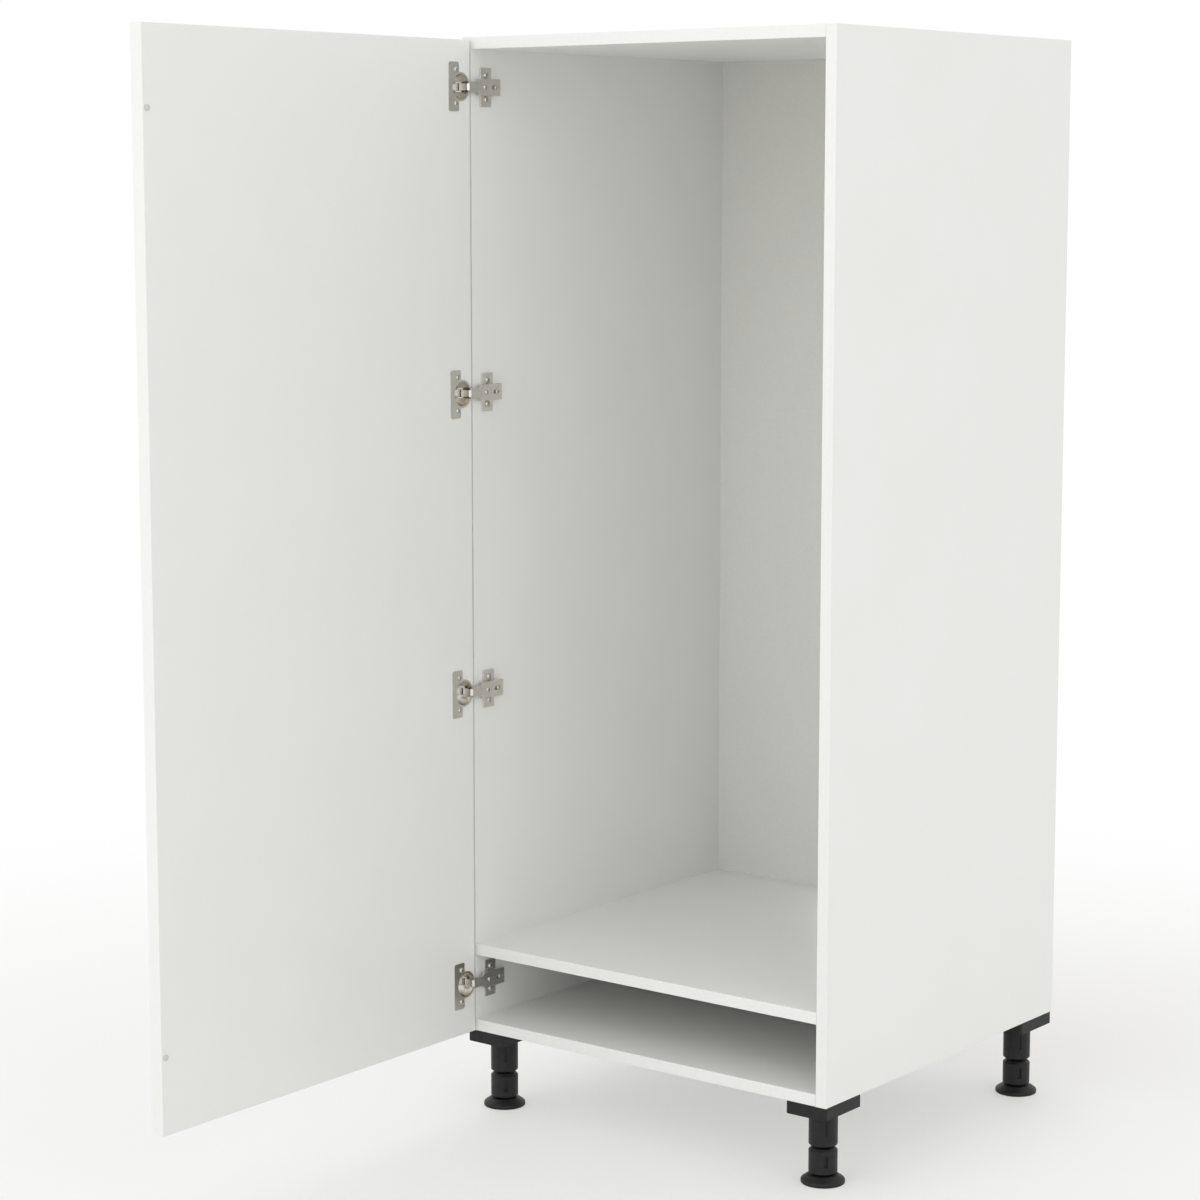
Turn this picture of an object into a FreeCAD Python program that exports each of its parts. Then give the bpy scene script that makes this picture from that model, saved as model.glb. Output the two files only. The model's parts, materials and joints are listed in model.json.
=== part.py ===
import FreeCAD
import Part
import Sketcher
import os
import re

# Fridge housing unit: a tall carcass with an appliance shelf, one door on four
# concealed hinges, and four levelling legs. Millimetres, +Z up, floor at Z = 0.
# The door stands open at 90 degrees. X runs to the right, Y to the back.

HINGES = 4
DOWELS_PER_JOINT = 3
BACK_SCREWS_PER_SIDE = 5
RECESS_SHARE = 0.6  # how much of a head's radius and height its driver recess takes

DRIVING = [
    # carcass
    ("unit_width", 600),
    ("carcass_depth", 580),
    ("niche_height", 1225),
    ("low_height", 92),
    ("board", 16),
    ("edge_band", 1),
    ("edge_round", 0.9),
    ("band_flat", 0.05),
    ("back_thickness", 3),
    ("back_rebate", 10),
    ("back_margin", 3),
    ("vent_width", 200),
    ("vent_height", 100),
    ("vent_margin", 40),
    ("cover_hole_radius", 2.5),
    ("cover_hole_inset", 80),
    # door and its swing
    ("door_thickness", 19),
    ("side_reveal", 1.5),
    ("top_reveal", 4),
    ("bottom_reveal", 1),
    ("closed_gap", 2.5),
    ("open_gap", 5),
    ("pivot_setback", 12),
    ("bumper_radius", 4),
    ("bumper_inset", 7),
    ("bumper_end", 100),
    ("bumper_clearance", 0.4),
    # hinges
    ("hinge_low", 71),
    ("hinge_high", 66),
    ("cup_radius", 17.5),
    ("cup_wall", 1),
    ("cup_depth", 13.3),
    ("cup_floor", 0.8),
    ("cup_edge", 2.5),
    ("flange_thickness", 1),
    ("flange_rim", 1.5),
    ("flange_edge", 3),
    ("flange_length", 65),
    ("flange_width", 21),
    ("flange_start", 3),
    ("flange_corner", 2),
    ("cup_screw_line", 9.5),
    ("cup_screw_spacing", 45),
    ("pin_radius", 1.25),
    ("pin_play", 0.05),
    ("eye_radius", 2.4),
    ("cheek_gap", 0.4),
    ("cheek_thickness", 2),
    ("neck_height", 9),
    ("bridge_height", 14),
    ("neck_reach", 12),
    ("neck_thickness", 3),
    ("neck_drop", 0.45),
    ("nose_length", 8),
    ("nose_slope", 4),
    ("arm_height", 22),
    ("arm_wall", 1.5),
    ("arm_length", 50),
    ("arm_taper", 4),
    ("plate_line", 28),
    ("plate_height", 52),
    ("plate_wing", 23),
    ("plate_tip", 22),
    ("plate_thickness", 2.5),
    ("plate_screw_spacing", 32),
    ("rail_height", 8),
    ("rail_side_gap", 0.5),
    ("rail_start", 10),
    ("rail_end", 47),
    ("clamp_screw_line", 40),
    ("adjust_screw_line", 18),
    # legs
    ("leg_height", 114),
    ("socket_margin", 0.5),
    ("socket_width", 62),
    ("socket_depth", 84),
    ("socket_thickness", 17),
    ("socket_round", 3),
    ("spigot_radius", 15),
    ("spigot_length", 8),
    ("sleeve_radius", 19),
    ("sleeve_length", 46),
    ("sleeve_chamfer", 1.5),
    ("spindle_radius", 10),
    ("spindle_length", 30),
    ("spindle_play", 0.3),
    ("stop_gap", 3),
    ("adjuster_chamfer", 4),
    ("foot_radius", 29),
    ("foot_rim", 5),
    ("foot_height", 12),
    ("foot_shoulder", 19),
    ("collar_radius", 13),
    ("collar_height", 3),
    ("stem_radius", 8),
    ("stem_length", 10),
    ("slot_width", 5),
    ("slot_length", 15),
    ("slot_depth", 3),
    ("seam_width", 2.4),
    ("seam_length", 30),
    ("seam_depth", 1.6),
    ("leg_screw_spread_x", 40),
    ("leg_screw_spread_y", 64),
    ("leg_screw_seat", 4),
    ("leg_screw_play", 0.5),
    # board joints
    ("dowel_radius", 4),
    ("dowel_in_side", 11),
    ("dowel_in_board", 24),
    ("dowel_end_gap", 0.5),
    ("cam_line", 100),
    ("dowel_from_cam", 50),
    ("cam_inset", 24),
    ("cam_radius", 7.4),
    ("cam_height", 12.3),
    ("cam_play", 0.1),
    ("bolt_radius", 3),
    ("bolt_head_radius", 3.4),
    ("bolt_neck_radius", 2),
    ("bolt_neck_length", 5),
    ("bolt_thread_radius", 2.5),
    ("bolt_thread_length", 11),
    ("fit_gap", 0.05),
    # screws: head radius, head height, shank radius, grip in the board
    ("cup_screw_head", 3.6),
    ("cup_screw_rise", 2),
    ("cup_screw_shank", 1.75),
    ("cup_screw_grip", 11),
    ("plate_screw_head", 4.5),
    ("plate_screw_rise", 2.4),
    ("plate_screw_shank", 2.5),
    ("plate_screw_grip", 11),
    ("arm_screw_head", 3.4),
    ("arm_screw_rise", 2),
    ("arm_screw_shank", 2),
    ("arm_screw_grip", 5),
    ("leg_screw_head", 4),
    ("leg_screw_rise", 3),
    ("leg_screw_shank", 2),
    ("leg_screw_grip", 12),
    ("back_screw_head", 3.5),
    ("back_screw_rise", 1.8),
    ("back_screw_shank", 1.5),
    ("back_screw_grip", 13),
    ("back_screw_end", 60),
    ("recess_width", 0.9),
]

DERIVED = [
    ("carcass_height", "3 * board + niche_height + low_height"),
    ("door_width", "unit_width - 2 * side_reveal"),
    ("door_height", "carcass_height - top_reveal - bottom_reveal"),
    ("pivot_inset", "pivot_setback - open_gap"),
    ("pivot_depth", "pivot_setback - closed_gap"),
    ("door_overhang", "door_thickness - side_reveal - pivot_inset - pivot_depth"),
    ("left_x", "max(0; door_overhang) / 2 - unit_width / 2"),
    ("right_x", "left_x + unit_width"),
    ("inner_left", "left_x + board"),
    ("inner_right", "right_x - board"),
    ("front_y", "(door_width + open_gap - carcass_depth - back_screw_rise) / 2"),
    ("rear_y", "front_y + carcass_depth"),
    ("back_y", "rear_y - back_thickness"),
    ("base_z", "leg_height"),
    ("shelf_z", "base_z + board + low_height"),
    ("top_z", "shelf_z + board + niche_height"),
    ("carcass_top", "top_z + board"),
    ("pivot_x", "left_x + side_reveal + pivot_inset"),
    ("pivot_y", "front_y - pivot_setback"),
    ("door_face", "pivot_x + pivot_depth"),
    ("door_edge", "front_y - open_gap"),
    ("door_base", "base_z + bottom_reveal"),
    ("cup_offset", "cup_edge + cup_radius"),
    ("cup_y", "door_edge - cup_offset"),
    ("cavity_radius", "cup_radius - cup_wall"),
    ("cavity_depth", "cup_depth - cup_floor"),
    ("pin_half", "neck_height / 2 + cheek_gap + cheek_thickness"),
    ("web_x", "inner_left + rail_height - pivot_x"),
    ("panel_x", "inner_left - pivot_x"),
    ("rail_half", "arm_height / 2 - arm_wall - rail_side_gap"),
    ("leg_inset_x", "socket_margin + socket_width / 2"),
    ("leg_inset_y", "socket_margin + socket_depth / 2"),
    ("sleeve_base", "leg_height - socket_thickness - sleeve_length"),
    ("adjuster_base", "foot_height + collar_height"),
    ("adjuster_top", "sleeve_base - stop_gap"),
    ("hinge_step", "(carcass_height - hinge_low - hinge_high) / %d" % (HINGES - 1)),
    ("dowel_span", "carcass_depth - 2 * cam_line - 2 * dowel_from_cam"),
    ("dowel_step", "dowel_span / %d" % (DOWELS_PER_JOINT - 1)),
    ("back_screw_span", "carcass_height - 2 * back_screw_end"),
    ("back_screw_step", "back_screw_span / %d" % (BACK_SCREWS_PER_SIDE - 1)),
]

TURNS = {
    "+x": FreeCAD.Rotation(FreeCAD.Vector(0, 1, 0), 90),
    "-x": FreeCAD.Rotation(FreeCAD.Vector(0, 1, 0), -90),
    "-y": FreeCAD.Rotation(FreeCAD.Vector(1, 0, 0), 90),
    "+z": FreeCAD.Rotation(),
}
DIAGONAL = FreeCAD.Rotation(FreeCAD.Vector(0, 0, 1), 45)

doc = FreeCAD.newDocument("fridge_housing_unit")
sheet = doc.addObject("Spreadsheet::Sheet", "Sizes")
for row, (alias, value) in enumerate(DRIVING + DERIVED, start=1):
    sheet.set("A%d" % row, alias)
    sheet.set("B%d" % row, "=" + value if isinstance(value, str) else str(value))
    sheet.setAlias("B%d" % row, alias)
doc.recompute()
ALIASES = {alias for alias, value in DRIVING + DERIVED}
subparts = []


def formula(text):
    """Names in the text become cells of the sheet."""
    return re.sub(r"[a-z][a-z_]+", lambda m: "Sizes." + m[0] if m[0] in ALIASES else m[0], text)


def number(text):
    return float(sheet.evalExpression(formula(text)))


def bind(obj, sizes):
    for name, text in sizes.items():
        obj.setExpression(name, formula(text))


def place(obj, spot):
    bind(obj, {"Placement.Base." + axis: text for axis, text in zip("xyz", spot)})


def along(spot, axis, distance):
    """The spot moved by a distance along an axis such as +x."""
    moved = list(spot)
    at = "xyz".index(axis[1])
    moved[at] = "%s %s (%s)" % (moved[at], axis[0], distance)
    return tuple(moved)


def box(name, x, y, z):
    """A box from pairs of formulas: start and length along each axis."""
    solid = doc.addObject("Part::Box", name)
    bind(solid, {"Length": x[1], "Width": y[1], "Height": z[1]})
    place(solid, (x[0], y[0], z[0]))
    return solid


def rod(name, spot, axis, radius, length):
    solid = doc.addObject("Part::Cylinder", name)
    solid.Placement.Rotation = TURNS[axis]
    bind(solid, {"Radius": radius, "Height": length})
    place(solid, spot)
    return solid


def ball(name, spot, radius):
    solid = doc.addObject("Part::Sphere", name)
    bind(solid, {"Radius": radius})
    place(solid, spot)
    return solid


def group(name, solids):
    several = doc.addObject("Part::Compound", name)
    several.Links = solids
    return several


def fuse(name, solids):
    joined = doc.addObject("Part::MultiFuse", name)
    joined.Shapes = solids
    return joined


def cut(name, base, tools):
    result = doc.addObject("Part::Cut", name)
    result.Base = base
    result.Tool = tools[0] if len(tools) == 1 else group(name + "_tools", tools)
    return result


def rounded(name, base, radius, chosen):
    """The base with a round on each edge whose middle passes the test."""
    doc.recompute()
    size = number(radius)
    edges = enumerate(base.Shape.Edges, start=1)
    picked = [index for index, edge in edges if chosen(edge.CenterOfMass, edge)]
    result = doc.addObject("Part::Fillet", name)
    result.Base = base
    result.Edges = [(index, size, size) for index in picked]
    return result


def keep(obj, label):
    obj.Label = label
    subparts.append(obj)
    return obj


def new_body(name, spot):
    body = doc.addObject("PartDesign::Body", name)
    place(body, spot)
    return body


def new_sketch(body, plane, offset="0"):
    sketch = body.newObject("Sketcher::SketchObject", body.Name + "_sketch")
    support = next(f for f in body.Origin.OriginFeatures if f.Role == plane)
    sketch.AttachmentSupport = [(support, "")]
    sketch.MapMode = "FlatFace"
    sketch.setExpression("AttachmentOffset.Base.z", formula(offset))
    return sketch


def dimension(sketch, kind, geometry, text, point=None):
    value = number(text)
    parts = (kind, geometry, value) if point is None else (kind, geometry, point, value)
    index = sketch.addConstraint(Sketcher.Constraint(*parts))
    sketch.setExpression("Constraints[%d]" % index, formula(text))


def polygon(sketch, corners):
    """A closed outline, each corner held by two dimensions from the origin."""
    spots = [FreeCAD.Vector(number(x), number(y), 0) for x, y in corners]
    first = sketch.GeometryCount
    count = len(spots)
    for i in range(count):
        sketch.addGeometry(Part.LineSegment(spots[i], spots[(i + 1) % count]))
    for i in range(count):
        sketch.addConstraint(
            Sketcher.Constraint("Coincident", first + i, 2, first + (i + 1) % count, 1))
    for i, (x, y) in enumerate(corners):
        dimension(sketch, "DistanceX", first + i, x, 1)
        dimension(sketch, "DistanceY", first + i, y, 1)


def rectangle(sketch, x0, x1, y0, y1):
    polygon(sketch, [(x0, y0), (x1, y0), (x1, y1), (x0, y1)])


def circle(sketch, x, y, radius):
    centre = FreeCAD.Vector(number(x), number(y), 0)
    shape = Part.Circle(centre, FreeCAD.Vector(0, 0, 1), number(radius))
    index = sketch.addGeometry(shape)
    dimension(sketch, "DistanceX", index, x, 3)
    dimension(sketch, "DistanceY", index, y, 3)
    dimension(sketch, "Radius", index, radius)


def pad(body, sketch, length, backwards=False):
    feature = body.newObject("PartDesign::Pad", body.Name + "_pad")
    feature.Profile = sketch
    feature.Reversed = backwards
    feature.setExpression("Length", formula(length))
    return feature


def pocket(body, sketch, length, backwards=False):
    """Cuts against the sketch's normal, or along it where backwards is set."""
    doc.recompute()
    before = body.Shape.Volume
    feature = body.newObject("PartDesign::Pocket", body.Name + "_pocket")
    feature.Profile = sketch
    feature.Reversed = backwards
    feature.setExpression("Length", formula(length))
    doc.recompute()
    if body.Shape.Volume > before - 1e-3:
        raise RuntimeError("pocket cut nothing in " + body.Name)
    return feature


def revolve(body, corners):
    """A turned piece about Z, from an outline of radius and height."""
    sketch = new_sketch(body, "XZ_Plane")
    polygon(sketch, corners)
    feature = body.newObject("PartDesign::Revolution", body.Name + "_turned")
    feature.Profile = sketch
    feature.ReferenceAxis = (sketch, ["V_Axis"])
    feature.Angle = 360
    return feature


def screw(name, kind, spot, axis, length):
    """A cross-recessed screw seated at the spot and driven along the axis."""
    head, rise, shank = kind + "_head", kind + "_rise", kind + "_shank"
    outer = along(spot, axis, "0 - " + rise)
    body = fuse(name + "_blank", [
        rod(name + "_head", outer, axis, head, rise),
        rod(name + "_shank", spot, axis, shank, length),
    ])
    slots = []
    depth = "%s * %s" % (rise, RECESS_SHARE)
    reach = "%s * %s" % (head, RECESS_SHARE)
    sides = [letter for letter in "xyz" if letter != axis[1]]
    for wide, narrow in (sides, sides[::-1]):
        span = {}
        at = "xyz".index(axis[1])
        start = outer[at] if axis[0] == "+" else "%s - %s" % (outer[at], depth)
        span[axis[1]] = (start, depth)
        across = spot["xyz".index(wide)]
        beside = spot["xyz".index(narrow)]
        span[wide] = ("%s - %s" % (across, reach), "2 * " + reach)
        span[narrow] = ("%s - recess_width / 2" % beside, "recess_width")
        slots.append(box(name + "_recess_" + wide, span["x"], span["y"], span["z"]))
    return cut(name, body, [fuse(name + "_cross", slots)])


def hinge_z(index):
    return "base_z + hinge_low + %d * hinge_step" % index


def board_levels():
    """The three boards between the sides: name, underside, cam face up or down."""
    return [
        ("bottom", "base_z", "down"),
        ("shelf", "shelf_z", "down"),
        ("top", "top_z", "up"),
    ]


def cam_rows():
    return [("front", "front_y + cam_line"), ("rear", "rear_y - cam_line")]


def dowel_rows():
    first = "front_y + cam_line + dowel_from_cam"
    return [first + " + %d * dowel_step" % i for i in range(DOWELS_PER_JOINT)]


def side_faces():
    """Inner face of each side, and the axis that points from it into the boards."""
    return [("left", "inner_left", "+x"), ("right", "inner_right", "-x")]


def side_panel(side):
    """A full-height side, rebated for the back and drilled for its joints."""
    start = "left_x" if side == "left" else "inner_right"
    rebate = "inner_left - back_rebate" if side == "left" else "inner_right"
    face, inward = next((f, a) for s, f, a in side_faces() if s == side)
    outward = ("-" if inward[0] == "+" else "+") + "x"
    blank = box(side + "_side_blank", (start, "board"),
                ("front_y + edge_band", "carcass_depth - edge_band"),
                ("base_z", "carcass_height"))
    tools = [box(side + "_side_rebate", (rebate, "back_rebate"), ("back_y", "back_thickness"),
                 ("base_z + back_margin", "carcass_height - 2 * back_margin"))]
    for board_name, under, _ in board_levels():
        level = under + " + board / 2"
        for i, y in enumerate(dowel_rows()):
            tools.append(rod("%s_%s_side_dowel_hole_%d" % (side, board_name, i), (face, y, level),
                             outward, "dowel_radius + fit_gap", "dowel_in_side"))
        for row_name, y in cam_rows():
            tools.append(rod("%s_%s_side_bolt_hole_%s" % (side, board_name, row_name),
                             (face, y, level), outward,
                             "bolt_thread_radius + fit_gap", "bolt_thread_length + fit_gap"))
    for i, (x, y, z) in enumerate(back_screw_spots()):
        if x == back_screw_columns()[side]:
            tools.append(rod("%s_side_back_hole_%d" % (side, i), (x, "back_y", z), "-y",
                             "back_screw_shank + fit_gap", "back_screw_grip + fit_gap"))
    tools += leg_screw_holes(side + "_side", side)
    if side == "left":
        for i in range(HINGES):
            for sign in "+-":
                spot = (face, "front_y + plate_line",
                        "%s %s plate_screw_spacing / 2" % (hinge_z(i), sign))
                tools.append(rod("left_side_plate_hole_%d_%d" % (i, "+-".index(sign)), spot, outward,
                                 "plate_screw_shank + fit_gap", "plate_screw_grip + fit_gap"))
    keep(cut(side + "_side", blank, tools), side + "_side_panel")


def back_screw_columns():
    return {"left": "inner_left - back_rebate / 2", "right": "inner_right + back_rebate / 2"}


def back_screw_spots():
    """Rows of screws up both sides, and two in each board's rear edge."""
    spots = []
    for column in back_screw_columns().values():
        for i in range(BACK_SCREWS_PER_SIDE):
            spots.append((column, "rear_y", "base_z + back_screw_end + %d * back_screw_step" % i))
    for _, under, _ in board_levels():
        for sign in "+-":
            middle = "(inner_left + inner_right) / 2"
            spots.append((middle + " %s (inner_right - inner_left) / 4" % sign, "rear_y",
                          under + " + board / 2"))
    return spots


def cross_board(board_name, under, cam_side, label):
    """A board between the sides, with its dowel holes, cam pockets and bolt bores."""
    blank = box(board_name + "_board_blank", ("inner_left", "inner_right - inner_left"),
                ("front_y + edge_band", "carcass_depth - edge_band - back_thickness"),
                (under, "board"))
    level = under + " + board / 2"
    tools = []
    for side, face, inward in side_faces():
        for i, y in enumerate(dowel_rows()):
            tools.append(rod("%s_board_dowel_hole_%s_%d" % (board_name, side, i), (face, y, level),
                             inward, "dowel_radius + fit_gap", "dowel_in_board"))
        for row_name, y in cam_rows():
            bore = rod("%s_bolt_bore_%s_%s" % (board_name, side, row_name), (face, y, level), inward,
                       "bolt_head_radius + cam_play", "cam_inset")
            spot = cam_spot(under, cam_side, face, inward, y)
            well = rod("%s_cam_pocket_%s_%s" % (board_name, side, row_name), spot, "+z",
                       "cam_radius + cam_play", "cam_height + cam_play")
            tools.append(fuse("%s_cam_cut_%s_%s" % (board_name, side, row_name), [bore, well]))
    for i, (x, y, z) in enumerate(back_screw_spots()):
        if z == level:
            tools.append(rod("%s_back_hole_%d" % (board_name, i), (x, "back_y", z), "-y",
                             "back_screw_shank + fit_gap", "back_screw_grip + fit_gap"))
    if board_name == "bottom":
        tools += leg_screw_holes("bottom", "bottom")
    if board_name == "top":
        for i, (x, y) in enumerate(cover_hole_spots()):
            tools.append(rod("top_cover_hole_%d" % i, (x, y, under), "+z",
                             "cover_hole_radius", "board"))
    keep(cut(board_name + "_board", blank, tools), label)


def cover_hole_spots():
    return [(x, y) for x in ("inner_left + cover_hole_inset", "inner_right - cover_hole_inset")
            for y in ("front_y + cover_hole_inset", "rear_y - cover_hole_inset")]


def cam_spot(under, cam_side, face, inward, y):
    """Lower centre of a cam, set into the board's hidden face."""
    x = "%s %s cam_inset" % (face, inward[0])
    z = under if cam_side == "down" else under + " + board - cam_height"
    return (x, y, z)


def cam_fittings():
    cams = []
    bolts = []
    for board_name, under, cam_side in board_levels():
        level = under + " + board / 2"
        for side, face, inward in side_faces():
            outward = ("-" if inward[0] == "+" else "+") + "x"
            for row_name, y in cam_rows():
                tag = "%s_%s_%s" % (board_name, side, row_name)
                spot = cam_spot(under, cam_side, face, inward, y)
                cams.append(cam(tag, spot, level, outward, cam_side))
                bolts.append(bolt(tag, (face, y, level), inward, outward))
    keep(group("cams", cams), "cam_locks")
    keep(group("bolts", bolts), "cam_bolts")


def cam(tag, spot, level, outward, cam_side):
    """A round cam with a window for the bolt's head and a cross for the driver."""
    x, y, z = spot
    blank = rod("cam_blank_" + tag, spot, "+z", "cam_radius", "cam_height")
    half = "(bolt_head_radius + cam_play)"
    toward_side = x + (" - cam_radius" if outward == "-x" else " - " + half)
    window = box("cam_window_" + tag, (toward_side, "cam_radius + " + half),
                 (y + " - " + half, "2 * " + half), (level + " - " + half, "2 * " + half))
    face = z if cam_side == "down" else z + " + cam_height - recess_width"
    reach = "cam_radius * %s" % RECESS_SHARE
    arms = [
        box("cam_cross_x_" + tag, ("%s - %s" % (x, reach), "2 * " + reach),
            (y + " - recess_width", "2 * recess_width"), (face, "recess_width")),
        box("cam_cross_y_" + tag, (x + " - recess_width", "2 * recess_width"),
            ("%s - %s" % (y, reach), "2 * " + reach), (face, "recess_width")),
    ]
    return cut("cam_" + tag, blank, [window, fuse("cam_cross_" + tag, arms)])


def bolt(tag, spot, inward, outward):
    """A bolt screwed into the side, whose round head the cam draws in."""
    neck_start = "cam_inset - bolt_neck_length"
    return fuse("bolt_" + tag, [
        rod("bolt_thread_" + tag, spot, outward, "bolt_thread_radius", "bolt_thread_length"),
        rod("bolt_shank_" + tag, spot, inward, "bolt_radius", neck_start),
        rod("bolt_neck_" + tag, along(spot, inward, neck_start), inward,
            "bolt_neck_radius", "bolt_neck_length"),
        ball("bolt_head_" + tag, along(spot, inward, "cam_inset"), "bolt_head_radius"),
    ])


def dowels():
    pins = []
    for board_name, under, _ in board_levels():
        for side, face, inward in side_faces():
            outward = ("-" if inward[0] == "+" else "+") + "x"
            for i, y in enumerate(dowel_rows()):
                start = along((face, y, under + " + board / 2"), outward,
                              "dowel_in_side - dowel_end_gap")
                pins.append(rod("dowel_%s_%s_%d" % (board_name, side, i), start, inward, "dowel_radius",
                                "dowel_in_side + dowel_in_board - 2 * dowel_end_gap"))
    keep(group("dowels", pins), "carcass_dowels")


def long_edges(along_axis, outer_axis, outer):
    """A test for a band's two long edges on its outer side."""
    def chosen(middle, edge):
        run = edge.tangentAt(edge.FirstParameter)
        lengthwise = abs(getattr(run, along_axis)) > 0.9
        return lengthwise and abs(getattr(middle, outer_axis) - number(outer)) < 1e-4
    return chosen


def band(name, x, y, z, along_axis, outer_axis, outer):
    strip = box(name + "_strip", x, y, z)
    return rounded(name, strip, "min(edge_round; edge_band - band_flat)",
                   long_edges(along_axis, outer_axis, outer))


def carcass_bands():
    front = ("front_y", "edge_band")
    tall = ("base_z", "carcass_height")
    between = ("inner_left", "inner_right - inner_left")
    keep(band("left_band", ("left_x", "board"), front, tall, "z", "y", "front_y"),
         "left_side_edge_band")
    keep(band("right_band", ("inner_right", "board"), front, tall, "z", "y", "front_y"),
         "right_side_edge_band")
    for board_name, under, _ in board_levels():
        keep(band(board_name + "_band", between, front, (under, "board"), "x", "y", "front_y"),
             board_name + "_edge_band")


def door_bands():
    thick = ("door_face - door_thickness", "door_thickness")
    tall = ("door_base", "door_height")
    far = "door_edge - door_width"
    inside = (far + " + edge_band", "door_width - 2 * edge_band")
    strips = [
        band("door_hinge_band", thick, ("door_edge - edge_band", "edge_band"), tall,
             "z", "y", "door_edge"),
        band("door_free_band", thick, (far, "edge_band"), tall, "z", "y", far),
        band("door_low_band", thick, inside, ("door_base", "edge_band"), "y", "z", "door_base"),
        band("door_high_band", thick, inside, ("door_base + door_height - edge_band", "edge_band"),
             "y", "z", "door_base + door_height"),
    ]
    keep(group("door_bands", strips), "door_edge_bands")


def cup_screw_spots(index):
    y = "cup_y - cup_screw_line"
    return [("door_face", y, "%s %s cup_screw_spacing / 2" % (hinge_z(index), sign)) for sign in "+-"]


def door_panel():
    """The door's board, bored for the hinge cups and their screws."""
    blank = box("door_blank", ("door_face - door_thickness", "door_thickness"),
                ("door_edge - door_width + edge_band", "door_width - 2 * edge_band"),
                ("door_base + edge_band", "door_height - 2 * edge_band"))
    tools = []
    for i in range(HINGES):
        tools.append(rod("door_cup_bore_%d" % i, ("door_face", "cup_y", hinge_z(i)), "-x",
                         "cup_radius + fit_gap", "cup_depth + fit_gap"))
        for j, spot in enumerate(cup_screw_spots(i)):
            tools.append(rod("door_screw_hole_%d_%d" % (i, j), spot, "-x",
                             "cup_screw_shank + fit_gap", "cup_screw_grip + fit_gap"))
    keep(cut("door_board", blank, tools), "door_panel")


def door_bumpers():
    y = "door_edge - door_width + bumper_inset"
    ends = ("door_base + bumper_end", "door_base + door_height - bumper_end")
    pads = [rod("bumper_%d" % i, ("door_face", y, z), "+x", "bumper_radius",
                "closed_gap - bumper_clearance") for i, z in enumerate(ends)]
    keep(group("bumpers", pads), "door_bumpers")


def back_panel():
    """The thin back, with a ventilation opening low and high in the niche."""
    blank = box("back_blank",
                ("inner_left - back_rebate", "inner_right - inner_left + 2 * back_rebate"),
                ("back_y", "back_thickness"),
                ("base_z + back_margin", "carcass_height - 2 * back_margin"))
    left = "(inner_left + inner_right - vent_width) / 2"
    low = "shelf_z + board + vent_margin"
    high = "top_z - vent_margin - vent_height"
    tools = [box("vent_" + name, (left, "vent_width"), ("back_y", "back_thickness"), (z, "vent_height"))
             for name, z in (("low", low), ("high", high))]
    for i, spot in enumerate(back_screw_spots()):
        tools.append(rod("back_panel_hole_%d" % i, spot, "-y",
                         "back_screw_shank + fit_gap", "back_thickness"))
    keep(cut("back_board", blank, tools), "back_panel")
    screws = [screw("back_screw_%d" % i, "back_screw", spot, "-y", "back_thickness + back_screw_grip")
              for i, spot in enumerate(back_screw_spots())]
    keep(group("back_screws", screws), "back_panel_screws")


def hinge_cup(index):
    """A round cup sunk in the door, its flange, and two cheeks that hold the pin."""
    body = new_body("cup_%d" % index, ("door_face", "cup_y", hinge_z(index)))
    barrel = new_sketch(body, "YZ_Plane")
    circle(barrel, "0", "0", "cup_radius")
    pad(body, barrel, "cup_depth", backwards=True)
    rim = new_sketch(body, "YZ_Plane")
    circle(rim, "0", "0", "cup_radius + flange_rim")
    pad(body, rim, "flange_thickness")
    wings = new_sketch(body, "YZ_Plane")
    near, far = "0 - flange_start", "0 - flange_start - flange_width"
    tip, corner = "flange_length / 2", "flange_corner"
    polygon(wings, [
        (near, "0 - " + tip + " + " + corner), (near, tip + " - " + corner),
        (near + " - " + corner, tip), (far + " + " + corner, tip),
        (far, tip + " - " + corner), (far, "0 - " + tip + " + " + corner),
        (far + " + " + corner, "0 - " + tip), (near + " - " + corner, "0 - " + tip)])
    pad(body, wings, "flange_thickness")
    trim = new_sketch(body, "YZ_Plane", "flange_thickness")
    rectangle(trim, "cup_offset - flange_edge", "cup_offset", "0 - cup_radius", "cup_radius")
    pocket(body, trim, "flange_thickness")
    cavity = new_sketch(body, "YZ_Plane", "flange_thickness")
    circle(cavity, "0", "0", "cavity_radius")
    pocket(body, cavity, "flange_thickness + cavity_depth")
    cheeks = new_sketch(body, "YZ_Plane", "0 - cavity_depth")
    wall = "(pin_half - cheek_thickness)"
    pin_at = "(cup_offset - pivot_inset)"
    rectangle(cheeks, pin_at + " - eye_radius", pin_at + " + eye_radius", wall, "pin_half")
    rectangle(cheeks, pin_at + " - eye_radius", pin_at + " + eye_radius", "0 - pin_half", "0 - " + wall)
    pad(body, cheeks, "cavity_depth - pivot_depth + eye_radius")
    bore = new_sketch(body, "XY_Plane", "pin_half")
    circle(bore, "0 - pivot_depth", pin_at, "pin_radius + fit_gap / 2")
    pocket(body, bore, "2 * pin_half")
    holes = new_sketch(body, "YZ_Plane", "flange_thickness")
    for sign in ("", "0 - "):
        circle(holes, "0 - cup_screw_line", sign + "cup_screw_spacing / 2", "cup_screw_shank + fit_gap")
    pocket(body, holes, "flange_thickness")
    keep(body, "hinge_cup_%d" % (index + 1))


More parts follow.
